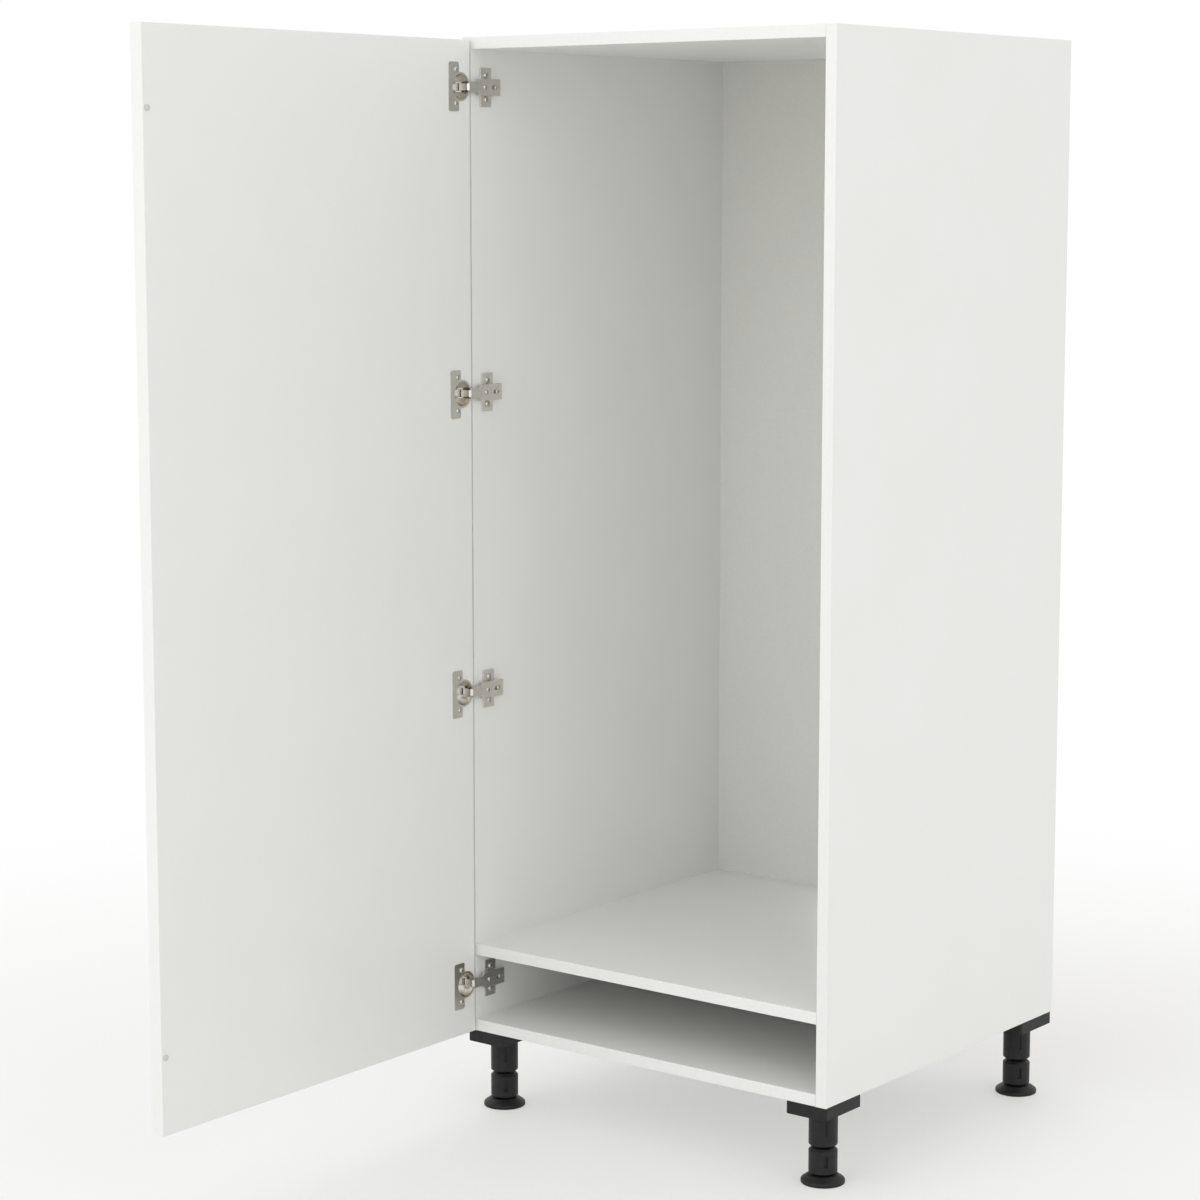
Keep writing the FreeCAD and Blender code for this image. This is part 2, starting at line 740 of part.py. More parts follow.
def hinge_arm(index):
    """An arm clamped on its plate, with a cranked neck that narrows to an eye in the cup."""
    body = new_body("arm_%d" % index, ("pivot_x", "pivot_y", hinge_z(index)))
    half_neck = "0 - neck_height / 2"
    nose = "pivot_setback + nose_length"
    outer = "(neck_reach + neck_thickness)"
    web_out = "(web_x + arm_wall)"
    neck = new_sketch(body, "XY_Plane", half_neck)
    polygon(neck, [
        ("0", "0 - eye_radius"), (outer + " - eye_radius", "0 - eye_radius"), (outer, "0"),
        (outer, "pivot_setback - neck_drop"), (web_out, "pivot_setback + nose_slope"),
        (web_out, nose), ("neck_reach", nose), ("neck_reach", "0 - neck_drop"),
        ("0", "0 - neck_drop")])
    pad(body, neck, "neck_height")
    bridge = new_sketch(body, "XY_Plane", "0 - bridge_height / 2")
    polygon(bridge, [
        ("neck_reach", "0"), (outer, "0"), (outer, "pivot_setback - neck_drop"),
        (web_out, "pivot_setback + nose_slope"), (web_out, nose), ("neck_reach", nose)])
    pad(body, bridge, "bridge_height")
    eye = new_sketch(body, "XY_Plane", half_neck)
    circle(eye, "0", "0", "eye_radius")
    pad(body, eye, "neck_height")
    web = new_sketch(body, "YZ_Plane", "web_x")
    start = "pivot_setback + nose_length / 2"
    full = start + " + arm_taper"
    end = "pivot_setback + arm_length"
    polygon(web, [
        (start, "0 - bridge_height / 2"), (full, "0 - arm_height / 2"),
        (end, "0 - arm_height / 2"), (end, "arm_height / 2"), (full, "arm_height / 2"),
        (start, "bridge_height / 2")])
    pad(body, web, "arm_wall")
    walls = new_sketch(body, "YZ_Plane", "panel_x + plate_thickness + rail_side_gap")
    rectangle(walls, full, end, "arm_height / 2 - arm_wall", "arm_height / 2")
    rectangle(walls, full, end, "0 - arm_height / 2", "arm_wall - arm_height / 2")
    pad(body, walls, "web_x - panel_x - plate_thickness - rail_side_gap")
    bore = new_sketch(body, "XY_Plane", "neck_height / 2")
    circle(bore, "0", "0", "pin_radius + pin_play")
    pocket(body, bore, "neck_height")
    holes = new_sketch(body, "YZ_Plane", "web_x + arm_wall")
    for line in ("clamp_screw_line", "adjust_screw_line"):
        circle(holes, "pivot_setback + " + line, "0", "arm_screw_shank + fit_gap")
    pocket(body, holes, "arm_wall")
    keep(body, "hinge_arm_%d" % (index + 1))


def hinge_plate(index):
    """A cross-shaped plate screwed to the side, with a rail that carries the arm."""
    body = new_body("plate_%d" % index, ("inner_left", "front_y", hinge_z(index)))
    cross = new_sketch(body, "YZ_Plane")
    tip = "plate_height / 2"
    polygon(cross, [
        ("rail_start", "0 - rail_half"), ("plate_line - plate_wing / 2", "0 - rail_half"),
        ("plate_line - plate_tip / 2", "0 - " + tip), ("plate_line + plate_tip / 2", "0 - " + tip),
        ("plate_line + plate_wing / 2", "0 - rail_half"), ("rail_end", "0 - rail_half"),
        ("rail_end", "rail_half"), ("plate_line + plate_wing / 2", "rail_half"),
        ("plate_line + plate_tip / 2", tip), ("plate_line - plate_tip / 2", tip),
        ("plate_line - plate_wing / 2", "rail_half"), ("rail_start", "rail_half")])
    pad(body, cross, "plate_thickness")
    rail = new_sketch(body, "YZ_Plane")
    rectangle(rail, "rail_start", "rail_end", "0 - rail_half", "rail_half")
    pad(body, rail, "rail_height")
    holes = new_sketch(body, "YZ_Plane", "plate_thickness")
    for sign in ("", "0 - "):
        circle(holes, "plate_line", sign + "plate_screw_spacing / 2", "plate_screw_shank + fit_gap")
    pocket(body, holes, "plate_thickness")
    threads = new_sketch(body, "YZ_Plane", "rail_height")
    for line in ("clamp_screw_line", "adjust_screw_line"):
        circle(threads, line, "0", "arm_screw_shank + fit_gap")
    pocket(body, threads, "arm_screw_grip + fit_gap")
    keep(body, "hinge_plate_%d" % (index + 1))


def hinge_pin(index):
    start = ("pivot_x", "pivot_y", hinge_z(index) + " - pin_half")
    keep(rod("pin_%d" % index, start, "+z", "pin_radius", "2 * pin_half"), "hinge_pin_%d" % (index + 1))


def hinge_screws():
    cup_screws, plate_screws, clamps, adjusters = [], [], [], []
    for i in range(HINGES):
        for j, spot in enumerate(cup_screw_spots(i)):
            cup_screws.append(screw("cup_screw_%d_%d" % (i, j), "cup_screw",
                                    along(spot, "+x", "flange_thickness"), "-x",
                                    "flange_thickness + cup_screw_grip"))
        for j, sign in enumerate("+-"):
            spot = ("inner_left + plate_thickness", "front_y + plate_line",
                    "%s %s plate_screw_spacing / 2" % (hinge_z(i), sign))
            plate_screws.append(screw("plate_screw_%d_%d" % (i, j), "plate_screw", spot, "-x",
                                      "plate_thickness + plate_screw_grip"))
        for line, screws in (("clamp_screw_line", clamps), ("adjust_screw_line", adjusters)):
            spot = ("inner_left + rail_height + arm_wall", "front_y + " + line, hinge_z(i))
            screws.append(screw("arm_%s_%d" % (line, i), "arm_screw", spot, "-x",
                                "arm_wall + arm_screw_grip"))
    keep(group("cup_screws", cup_screws), "hinge_cup_screws")
    keep(group("plate_screws", plate_screws), "hinge_plate_screws")
    keep(group("clamp_screws", clamps), "hinge_clamp_screws")
    keep(group("adjust_screws", adjusters), "hinge_adjust_screws")


def leg_spots():
    """Axis of each leg, inset from the carcass's corners."""
    columns = [("left", "left_x + leg_inset_x"), ("right", "right_x - leg_inset_x")]
    rows = [("front", "front_y + leg_inset_y"), ("rear", "rear_y - leg_inset_y")]
    return [(row + "_" + column, x, y) for row, y in rows for column, x in columns]


def leg_screw_spots(x, y):
    """Four screws round a leg's axis: the two to the left, then the two to the right."""
    return [("%s %s leg_screw_spread_x / 2" % (x, a), "%s %s leg_screw_spread_y / 2" % (y, b))
            for a in "-+" for b in "-+"]


def leg_screw_holes(name, board_name):
    """Pilot holes from below: a leg's outer screws bite in the side, the inner in the bottom."""
    holes = []
    for leg_name, x, y in leg_spots():
        column = "left" if leg_name.endswith("left") else "right"
        spots = leg_screw_spots(x, y)
        outer, inner = (spots[:2], spots[2:]) if column == "left" else (spots[2:], spots[:2])
        chosen = {column: outer, "bottom": inner}.get(board_name, [])
        for i, (sx, sy) in enumerate(chosen):
            holes.append(rod("%s_leg_hole_%s_%d" % (name, leg_name, i), (sx, sy, "base_z"), "+z",
                             "leg_screw_shank + fit_gap", "leg_screw_grip + fit_gap"))
    return holes


def leg_socket(name, x, y):
    """A plate under the bottom board, with a spigot that the sleeve is pushed on."""
    body = new_body("socket_" + name, (x, y, "leg_height"))
    plate = new_sketch(body, "XY_Plane")
    wide, deep, corner = "socket_width / 2", "socket_depth / 2", "socket_round"
    polygon(plate, [
        ("0 - %s + %s" % (wide, corner), "0 - " + deep), ("%s - %s" % (wide, corner), "0 - " + deep),
        (wide, "0 - %s + %s" % (deep, corner)), (wide, "%s - %s" % (deep, corner)),
        ("%s - %s" % (wide, corner), deep), ("0 - %s + %s" % (wide, corner), deep),
        ("0 - " + wide, "%s - %s" % (deep, corner)), ("0 - " + wide, "0 - %s + %s" % (deep, corner))])
    pad(body, plate, "socket_thickness", backwards=True)
    spigot = new_sketch(body, "XY_Plane", "0 - socket_thickness")
    circle(spigot, "0", "0", "spigot_radius")
    pad(body, spigot, "spigot_length", backwards=True)
    holes = new_sketch(body, "XY_Plane")
    wells = new_sketch(body, "XY_Plane", "0 - leg_screw_seat")
    for sx, sy in leg_screw_spots("0", "0"):
        circle(holes, sx, sy, "leg_screw_shank + fit_gap")
        circle(wells, sx, sy, "leg_screw_head + leg_screw_play")
    pocket(body, holes, "socket_thickness")
    pocket(body, wells, "socket_thickness - leg_screw_seat")
    keep(body, "leg_socket_" + name)


def upright_slot(name, x, y, radius, wide, tall, deep, middle):
    """A tool for an upright slot in a round sleeve, on its side towards the front right."""
    tool = doc.addObject("Part::Box", name)
    tool.Placement.Rotation = DIAGONAL
    bind(tool, {"Length": wide, "Width": deep, "Height": tall})
    place(tool, ("%s + (%s - %s / 2) * sqrt(0.5)" % (x, radius, wide),
                 "%s - (%s + %s / 2) * sqrt(0.5)" % (y, radius, wide),
                 "%s - %s / 2" % (middle, tall)))
    return tool


def leg_sleeve(name, x, y):
    """A tube on the socket's spigot, bored from below for the spindle."""
    body = new_body("sleeve_" + name, (x, y, "0"))
    top = "leg_height - socket_thickness"
    bore = "spindle_radius + spindle_play"
    bore_top = "sleeve_base + spindle_length + stop_gap"
    revolve(body, [
        (bore, "sleeve_base"), ("sleeve_radius - sleeve_chamfer", "sleeve_base"),
        ("sleeve_radius", "sleeve_base + sleeve_chamfer"), ("sleeve_radius", top),
        ("spigot_radius + fit_gap", top), ("spigot_radius + fit_gap", top + " - spigot_length"),
        ("0", top + " - spigot_length"), ("0", bore_top), (bore, bore_top)])
    seam = upright_slot("seam_" + name, x, y, "sleeve_radius", "seam_width", "seam_length",
                        "seam_depth", "%s - seam_length / 2" % top)
    keep(cut("sleeve_cut_" + name, body, [seam]), "leg_sleeve_" + name)


def leg_adjuster(name, x, y):
    """The turning sleeve, with the spindle that screws up into the leg."""
    body = new_body("adjuster_" + name, (x, y, "0"))
    revolve(body, [
        ("stem_radius + fit_gap", "adjuster_base"), ("sleeve_radius", "adjuster_base"),
        ("sleeve_radius", "adjuster_top - adjuster_chamfer"),
        ("sleeve_radius - adjuster_chamfer", "adjuster_top"), ("spindle_radius", "adjuster_top"),
        ("spindle_radius", "adjuster_top + spindle_length"), ("0", "adjuster_top + spindle_length"),
        ("0", "adjuster_base + stem_length + fit_gap"),
        ("stem_radius + fit_gap", "adjuster_base + stem_length + fit_gap")])
    slot = upright_slot("slot_" + name, x, y, "sleeve_radius", "slot_width", "slot_length",
                        "slot_depth", "(adjuster_base + adjuster_top) / 2")
    keep(cut("adjuster_cut_" + name, body, [slot]), "leg_adjuster_" + name)


def leg_foot(name, x, y):
    """A round foot with a collar that the adjuster stands on, and a stem up into it."""
    body = new_body("foot_" + name, (x, y, "0"))
    revolve(body, [
        ("0", "0"), ("foot_radius", "0"), ("foot_radius", "foot_rim"), ("foot_shoulder", "foot_height"),
        ("collar_radius", "foot_height"), ("collar_radius", "adjuster_base"),
        ("stem_radius", "adjuster_base"), ("stem_radius", "adjuster_base + stem_length"),
        ("0", "adjuster_base + stem_length")])
    keep(body, "leg_foot_" + name)


def leg_screws():
    screws = []
    for name, x, y in leg_spots():
        for i, (sx, sy) in enumerate(leg_screw_spots(x, y)):
            screws.append(screw("leg_screw_%s_%d" % (name, i), "leg_screw",
                                (sx, sy, "base_z - leg_screw_seat"), "+z",
                                "leg_screw_seat + leg_screw_grip"))
    keep(group("leg_screw_group", screws), "leg_screws")


side_panel("left")
side_panel("right")
for board_name, under, cam_side in board_levels():
    cross_board(board_name, under, cam_side,
                "appliance_shelf" if board_name == "shelf" else board_name + "_panel")
back_panel()
carcass_bands()
cam_fittings()
dowels()
door_panel()
door_bands()
door_bumpers()
for index in range(HINGES):
    hinge_plate(index)
    hinge_arm(index)
    hinge_cup(index)
    hinge_pin(index)
hinge_screws()
for name, x, y in leg_spots():
    leg_socket(name, x, y)
    leg_sleeve(name, x, y)
    leg_adjuster(name, x, y)
    leg_foot(name, x, y)
leg_screws()
doc.recompute()

for obj in doc.Objects:
    if "Invalid" in obj.State or "Error" in obj.State:
        raise RuntimeError("%s did not build: %s" % (obj.Name, obj.State))
for piece in subparts:
    if piece.Shape.isNull() or not piece.Shape.isValid() or not piece.Shape.Solids:
        raise RuntimeError("%s has no valid solid" % piece.Label)

os.makedirs("parts", exist_ok=True)
for piece in subparts:
    piece.Shape.exportStep(os.path.join("parts", piece.Label + ".step"))
    print("%-28s %2d solids %12.1f mm3" % (piece.Label, len(piece.Shape.Solids), piece.Shape.Volume))
print(len(subparts), "sub-parts")
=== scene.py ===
import bpy
import bmesh
import json
import math
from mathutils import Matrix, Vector

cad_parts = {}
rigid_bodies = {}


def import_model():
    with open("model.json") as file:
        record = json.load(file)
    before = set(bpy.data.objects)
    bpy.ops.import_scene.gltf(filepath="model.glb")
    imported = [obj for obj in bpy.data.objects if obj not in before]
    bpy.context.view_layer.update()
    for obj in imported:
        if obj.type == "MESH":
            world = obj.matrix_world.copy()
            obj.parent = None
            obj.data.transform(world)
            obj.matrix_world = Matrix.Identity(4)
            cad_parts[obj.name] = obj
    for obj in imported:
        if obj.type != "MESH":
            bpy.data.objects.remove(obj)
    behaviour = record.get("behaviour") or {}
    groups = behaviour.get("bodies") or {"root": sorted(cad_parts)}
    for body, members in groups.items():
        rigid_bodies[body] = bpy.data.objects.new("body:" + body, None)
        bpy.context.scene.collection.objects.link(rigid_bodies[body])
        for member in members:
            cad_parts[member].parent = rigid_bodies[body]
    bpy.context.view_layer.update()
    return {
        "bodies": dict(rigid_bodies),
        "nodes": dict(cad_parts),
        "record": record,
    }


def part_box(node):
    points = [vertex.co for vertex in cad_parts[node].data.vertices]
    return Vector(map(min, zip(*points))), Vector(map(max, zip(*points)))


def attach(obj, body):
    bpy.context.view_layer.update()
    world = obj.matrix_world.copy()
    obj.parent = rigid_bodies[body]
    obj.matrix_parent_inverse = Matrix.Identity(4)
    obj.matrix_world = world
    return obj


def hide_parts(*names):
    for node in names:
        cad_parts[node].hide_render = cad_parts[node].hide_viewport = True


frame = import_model()
nodes = frame["nodes"]
record = frame["record"]
scene = bpy.context.scene
mm = 0.001
bodyOf = {node: body for body, members in record["behaviour"]["bodies"].items() for node in members}
slotOf = {part["node"]: part["material_slot"] for part in record["subparts"]}
legNames = [body.removeprefix("foot_") for body in frame["bodies"] if body.startswith("foot_")]
hingeCount = sum(node.startswith("hinge_arm_") for node in nodes)
print("frame:", len(nodes), "nodes,", hingeCount, "hinges,", len(legNames), "legs")


def hexColour(text):  # sRGB hex to linear
    parts = [int(text[i:i + 2], 16) / 255 for i in (1, 3, 5)]
    return [c / 12.92 if c <= 0.04045 else ((c + 0.055) / 1.055) ** 2.4 for c in parts] + [1.0]


def perMm(size):  # texture scale for a pattern of that many millimetres
    return 1 / (size * mm)


def feed(tree, node, values):  # links a node's inputs, or sets them
    for name, value in values.items():
        if isinstance(value, bpy.types.NodeSocket):
            tree.links.new(value, node.inputs[name])
        else:
            node.inputs[name].default_value = value


def addNode(tree, kind, values=None, **settings):
    node = tree.nodes.new(kind)
    for name, value in settings.items():
        setattr(node, name, value)
    feed(tree, node, values or {})
    return node


def startMaterial(name):
    material = bpy.data.materials.new(name)
    material.use_nodes = True
    tree = material.node_tree
    tree.nodes.clear()
    shader = addNode(tree, "ShaderNodeBsdfPrincipled")
    addNode(tree, "ShaderNodeOutputMaterial", {"Surface": shader.outputs["BSDF"]})
    coords = addNode(tree, "ShaderNodeTexCoord")
    return material, tree, shader, coords


# A Mix node's sockets go by number, because their names repeat
share, firstNumber, secondNumber, firstColour, secondColour = 0, 2, 3, 6, 7
mixedNumber, mixedColour = 0, 2
faceOn = 0.7  # how far a normal must lean to an axis for its face to count as looking that way

# White melamine on chipboard: a hard even white film with a fine pearl emboss that breaks up
# the highlights, and bare brown chips where the saw cut the hidden edges.
melamineSpec = {
    "film": "#F3F3F1", "filmShade": "#EFEFEC", "cloudMm": 140,
    "pearlMm": 1.4,  # real emboss is about 0.3 mm, drawn coarser so that it shows
    "pearlDepthMm": 0.03, "bump": 0.35,
    "chipLight": "#CFB994", "chipDark": "#8E7350", "chipMm": 2.6, "dustMm": 0.9,
    "chipDepth": 6.0,  # times the pearl's
    "gloss": (0.38, 0.44), "cutRough": 0.88, "ior": 1.5,
}


def melamineBoard(name, filmAxis, spec):  # filmAxis: the axis that the two film faces look along
    material, tree, shader, coords = startMaterial(name)
    spot = coords.outputs["Object"]
    parts = addNode(tree, "ShaderNodeSeparateXYZ", {"Vector": coords.outputs["Normal"]})
    along = addNode(tree, "ShaderNodeMath", {0: parts.outputs[filmAxis]}, operation="ABSOLUTE")
    isFilm = addNode(tree, "ShaderNodeMath", {0: along.outputs[0], 1: faceOn}, operation="GREATER_THAN")
    cloud = addNode(tree, "ShaderNodeTexNoise", {
        "Vector": spot, "Scale": perMm(spec["cloudMm"]), "Detail": 3.0})
    pearl = addNode(tree, "ShaderNodeTexNoise", {
        "Vector": spot, "Scale": perMm(spec["pearlMm"]), "Detail": 2.0})
    chips = addNode(tree, "ShaderNodeTexVoronoi", {"Vector": spot, "Scale": perMm(spec["chipMm"])})
    dust = addNode(tree, "ShaderNodeTexNoise", {
        "Vector": spot, "Scale": perMm(spec["dustMm"]), "Detail": 4.0})
    film = addNode(tree, "ShaderNodeMix", {
        share: cloud.outputs["Fac"], firstColour: hexColour(spec["film"]),
        secondColour: hexColour(spec["filmShade"])}, data_type="RGBA")
    grey = addNode(tree, "ShaderNodeSeparateColor", {"Color": chips.outputs["Color"]})
    blend = addNode(tree, "ShaderNodeMath", {
        0: grey.outputs[0], 1: dust.outputs["Fac"]}, operation="MULTIPLY")
    wood = addNode(tree, "ShaderNodeMix", {
        share: blend.outputs[0], firstColour: hexColour(spec["chipLight"]),
        secondColour: hexColour(spec["chipDark"])}, data_type="RGBA")
    colour = addNode(tree, "ShaderNodeMix", {
        share: isFilm.outputs[0], firstColour: wood.outputs[mixedColour],
        secondColour: film.outputs[mixedColour]}, data_type="RGBA")
    sheen = addNode(tree, "ShaderNodeMapRange", {
        "Value": cloud.outputs["Fac"], "To Min": spec["gloss"][0], "To Max": spec["gloss"][1]})
    rough = addNode(tree, "ShaderNodeMix", {
        share: isFilm.outputs[0], firstNumber: spec["cutRough"], secondNumber: sheen.outputs[0]})
    chipRelief = addNode(tree, "ShaderNodeMath", {
        0: blend.outputs[0], 1: spec["chipDepth"]}, operation="MULTIPLY")
    relief = addNode(tree, "ShaderNodeMix", {
        share: isFilm.outputs[0], firstNumber: chipRelief.outputs[0],
        secondNumber: pearl.outputs["Fac"]})
    bump = addNode(tree, "ShaderNodeBump", {
        "Strength": spec["bump"], "Distance": spec["pearlDepthMm"] * mm,
        "Height": relief.outputs[mixedNumber]})
    feed(tree, shader, {
        "Base Color": colour.outputs[mixedColour], "Roughness": rough.outputs[mixedNumber],
        "Normal": bump.outputs[0], "IOR": spec["ior"]})
    return material


# White ABS band, extruded and ironed on: a touch glossier than the film, with a faint mottle
# from the iron that breaks up the light.
bandSpec = {
    "plastic": "#F4F4F2", "mottle": "#ECECEA", "mottleMm": 2.2, "depthMm": 0.02, "bump": 0.2,
    "gloss": (0.26, 0.36), "ior": 1.53,
}


def absBand(name, spec):
    material, tree, shader, coords = startMaterial(name)
    mottle = addNode(tree, "ShaderNodeTexNoise", {
        "Vector": coords.outputs["Object"], "Scale": perMm(spec["mottleMm"]), "Detail": 3.0})
    colour = addNode(tree, "ShaderNodeMix", {
        share: mottle.outputs["Fac"], firstColour: hexColour(spec["plastic"]),
        secondColour: hexColour(spec["mottle"])}, data_type="RGBA")
    rough = addNode(tree, "ShaderNodeMapRange", {
        "Value": mottle.outputs["Fac"], "To Min": spec["gloss"][0], "To Max": spec["gloss"][1]})
    bump = addNode(tree, "ShaderNodeBump", {
        "Strength": spec["bump"], "Distance": spec["depthMm"] * mm, "Height": mottle.outputs["Fac"]})
    feed(tree, shader, {
        "Base Color": colour.outputs[mixedColour], "Roughness": rough.outputs[0],
        "Normal": bump.outputs[0], "IOR": spec["ior"]})
    return material


# Hardboard lacquered white on the side that shows: a thin film with slight orange peel in front,
# and clouded brown fibre behind, with the print of the wire mesh that it was pressed on, its dents
# painted darker as painted shade.
hardboardSpec = {
    "lacquer": "#EFEFEB", "lacquerShade": "#E6E6E1", "peelMm": 4.0, "lacquerRough": 0.42,
    "fibreLight": "#B3926F", "fibreDark": "#6B523B", "fibreMm": 2.4, "fibreRough": 0.85,
    "cloudMm": 45, "toneFrom": 0.2, "toneTo": 1.8,
    "meshMm": 6.0,  # real print is about 2 mm, drawn coarser so that it shows
    "meshDepth": 5.0,  # times the peel's
    # the mesh value sets how far the print's dents are painted darker, as painted shade
    "meshPaintedShade": 0.35, "depthMm": 0.08, "bump": 0.3,
}
waveRepeat = 2 * math.pi / 20  # a Wave texture repeats after that much of its scale


def lacqueredHardboard(name, spec):
    material, tree, shader, coords = startMaterial(name)
    spot = coords.outputs["Object"]
    parts = addNode(tree, "ShaderNodeSeparateXYZ", {"Vector": coords.outputs["Normal"]})
    isFront = addNode(tree, "ShaderNodeMath", {0: parts.outputs[1], 1: -faceOn}, operation="LESS_THAN")
    peel = addNode(tree, "ShaderNodeTexNoise", {
        "Vector": spot, "Scale": perMm(spec["peelMm"]), "Detail": 2.0})
    fibre = addNode(tree, "ShaderNodeTexNoise", {
        "Vector": spot, "Scale": perMm(spec["fibreMm"]), "Detail": 6.0, "Roughness": 0.7})
    cloud = addNode(tree, "ShaderNodeTexNoise", {
        "Vector": spot, "Scale": perMm(spec["cloudMm"]), "Detail": 5.0})
    both = addNode(tree, "ShaderNodeMath", {
        0: fibre.outputs["Fac"], 1: cloud.outputs["Fac"]}, operation="ADD")
    tone = addNode(tree, "ShaderNodeMapRange", {
        "Value": both.outputs[0], "From Min": spec["toneFrom"], "From Max": spec["toneTo"]})
    wires = {"Vector": spot, "Scale": perMm(spec["meshMm"]) * waveRepeat}
    across = addNode(tree, "ShaderNodeTexWave", wires, bands_direction="X")
    upward = addNode(tree, "ShaderNodeTexWave", wires, bands_direction="Z")
    mesh = addNode(tree, "ShaderNodeMath", {
        0: across.outputs["Fac"], 1: upward.outputs["Fac"]}, operation="MULTIPLY")
    lacquer = addNode(tree, "ShaderNodeMix", {
        share: peel.outputs["Fac"], firstColour: hexColour(spec["lacquer"]),
        secondColour: hexColour(spec["lacquerShade"])}, data_type="RGBA")
    brown = addNode(tree, "ShaderNodeMix", {
        share: tone.outputs[0], firstColour: hexColour(spec["fibreDark"]),
        secondColour: hexColour(spec["fibreLight"])}, data_type="RGBA")
    # painted shade: the mesh print's dents are painted darker, as if shade fell in them
    paintedPitShade = addNode(tree, "ShaderNodeMath", {
        0: mesh.outputs[0], 1: spec["meshPaintedShade"]}, operation="MULTIPLY")
    printed = addNode(tree, "ShaderNodeMix", {
        share: paintedPitShade.outputs[0], firstColour: brown.outputs[mixedColour],
        secondColour: hexColour(spec["fibreDark"])}, data_type="RGBA")
    colour = addNode(tree, "ShaderNodeMix", {
        share: isFront.outputs[0], firstColour: printed.outputs[mixedColour],
        secondColour: lacquer.outputs[mixedColour]}, data_type="RGBA")
    rough = addNode(tree, "ShaderNodeMix", {
        share: isFront.outputs[0], firstNumber: spec["fibreRough"], secondNumber: spec["lacquerRough"]})
    dents = addNode(tree, "ShaderNodeMath", {
        0: mesh.outputs[0], 1: -spec["meshDepth"]}, operation="MULTIPLY")
    relief = addNode(tree, "ShaderNodeMix", {
        share: isFront.outputs[0], firstNumber: dents.outputs[0], secondNumber: peel.outputs["Fac"]})
    bump = addNode(tree, "ShaderNodeBump", {
        "Strength": spec["bump"], "Distance": spec["depthMm"] * mm,
        "Height": relief.outputs[mixedNumber]})
    feed(tree, shader, {
        "Base Color": colour.outputs[mixedColour], "Roughness": rough.outputs[mixedNumber],
        "Normal": bump.outputs[0]})
    return material


# Turned beech: pale pinkish wood with fine dark flecks along the grain.
beechSpec = {
    "light": "#DDBE92", "dark": "#B98D5C", "grainMm": 1.2, "stretch": (0.12, 1.0, 1.0),
    "depthMm": 0.05, "bump": 0.3, "rough": 0.62,
}


def turnedBeech(name, spec):
    material, tree, shader, coords = startMaterial(name)
    stretch = addNode(tree, "ShaderNodeMapping", {
        "Vector": coords.outputs["Object"], "Scale": spec["stretch"]})
    grain = addNode(tree, "ShaderNodeTexNoise", {
        "Vector": stretch.outputs[0], "Scale": perMm(spec["grainMm"]), "Detail": 5.0})
    colour = addNode(tree, "ShaderNodeMix", {
        share: grain.outputs["Fac"], firstColour: hexColour(spec["light"]),
        secondColour: hexColour(spec["dark"])}, data_type="RGBA")
    bump = addNode(tree, "ShaderNodeBump", {
        "Strength": spec["bump"], "Distance": spec["depthMm"] * mm, "Height": grain.outputs["Fac"]})
    feed(tree, shader, {
        "Base Color": colour.outputs[mixedColour], "Normal": bump.outputs[0],
        "Roughness": spec["rough"]})
    return material


# Plated or cast metal: the plating's own tint drifts a little, and drawing lines or cast grain
# spread the highlight.
nickelSpec = {  # bright and slightly warm, with drawing lines along the arm
    "metal": "#E6E4DF", "drift": "#DCD9D2", "driftMm": 30, "grainMm": 0.5,
    "stretch": (1.0, 0.15, 1.0), "gloss": (0.18, 0.28), "depthMm": 0.004, "bump": 0.25,
}
zincPlateSpec = {  # cool grey with a faint yellow tint in patches
    "metal": "#C9CDD1", "drift": "#C9C4B4", "driftMm": 6, "grainMm": 0.7,
    "stretch": (1.0, 1.0, 1.0), "gloss": (0.26, 0.42), "depthMm": 0.012, "bump": 0.25,
}
castZincSpec = {  # dull grey with the mould's fine grain
    "metal": "#A9ABAC", "drift": "#8F9193", "driftMm": 5, "grainMm": 0.6,
    "stretch": (1.0, 1.0, 1.0), "gloss": (0.42, 0.6), "depthMm": 0.05, "bump": 0.25,
}


def metalFinish(name, spec):
    material, tree, shader, coords = startMaterial(name)
    drift = addNode(tree, "ShaderNodeTexNoise", {
        "Vector": coords.outputs["Object"], "Scale": perMm(spec["driftMm"]), "Detail": 2.0})
    stretch = addNode(tree, "ShaderNodeMapping", {
        "Vector": coords.outputs["Object"], "Scale": spec["stretch"]})
    grain = addNode(tree, "ShaderNodeTexNoise", {
        "Vector": stretch.outputs[0], "Scale": perMm(spec["grainMm"]), "Detail": 4.0})
    colour = addNode(tree, "ShaderNodeMix", {
        share: drift.outputs["Fac"], firstColour: hexColour(spec["metal"]),
        secondColour: hexColour(spec["drift"])}, data_type="RGBA")
    rough = addNode(tree, "ShaderNodeMapRange", {
        "Value": grain.outputs["Fac"], "To Min": spec["gloss"][0], "To Max": spec["gloss"][1]})
    bump = addNode(tree, "ShaderNodeBump", {
        "Strength": spec["bump"], "Distance": spec["depthMm"] * mm, "Height": grain.outputs["Fac"]})
    feed(tree, shader, {
        "Base Color": colour.outputs[mixedColour], "Roughness": rough.outputs[0],
        "Normal": bump.outputs[0], "Metallic": 1.0})
    return material


# Black moulded polypropylene: the mould's spark-eroded skin gives a dull satin black, paler
# where it has been rubbed.
polySpec = {
    "plastic": "#151516", "rubbed": "#242425", "rubMm": 12, "rubFrom": 0.5, "rubTo": 0.8,
    "skinMm": 0.9, "depthMm": 0.04, "bump": 0.3, "gloss": (0.4, 0.56), "specular": 0.35,
}


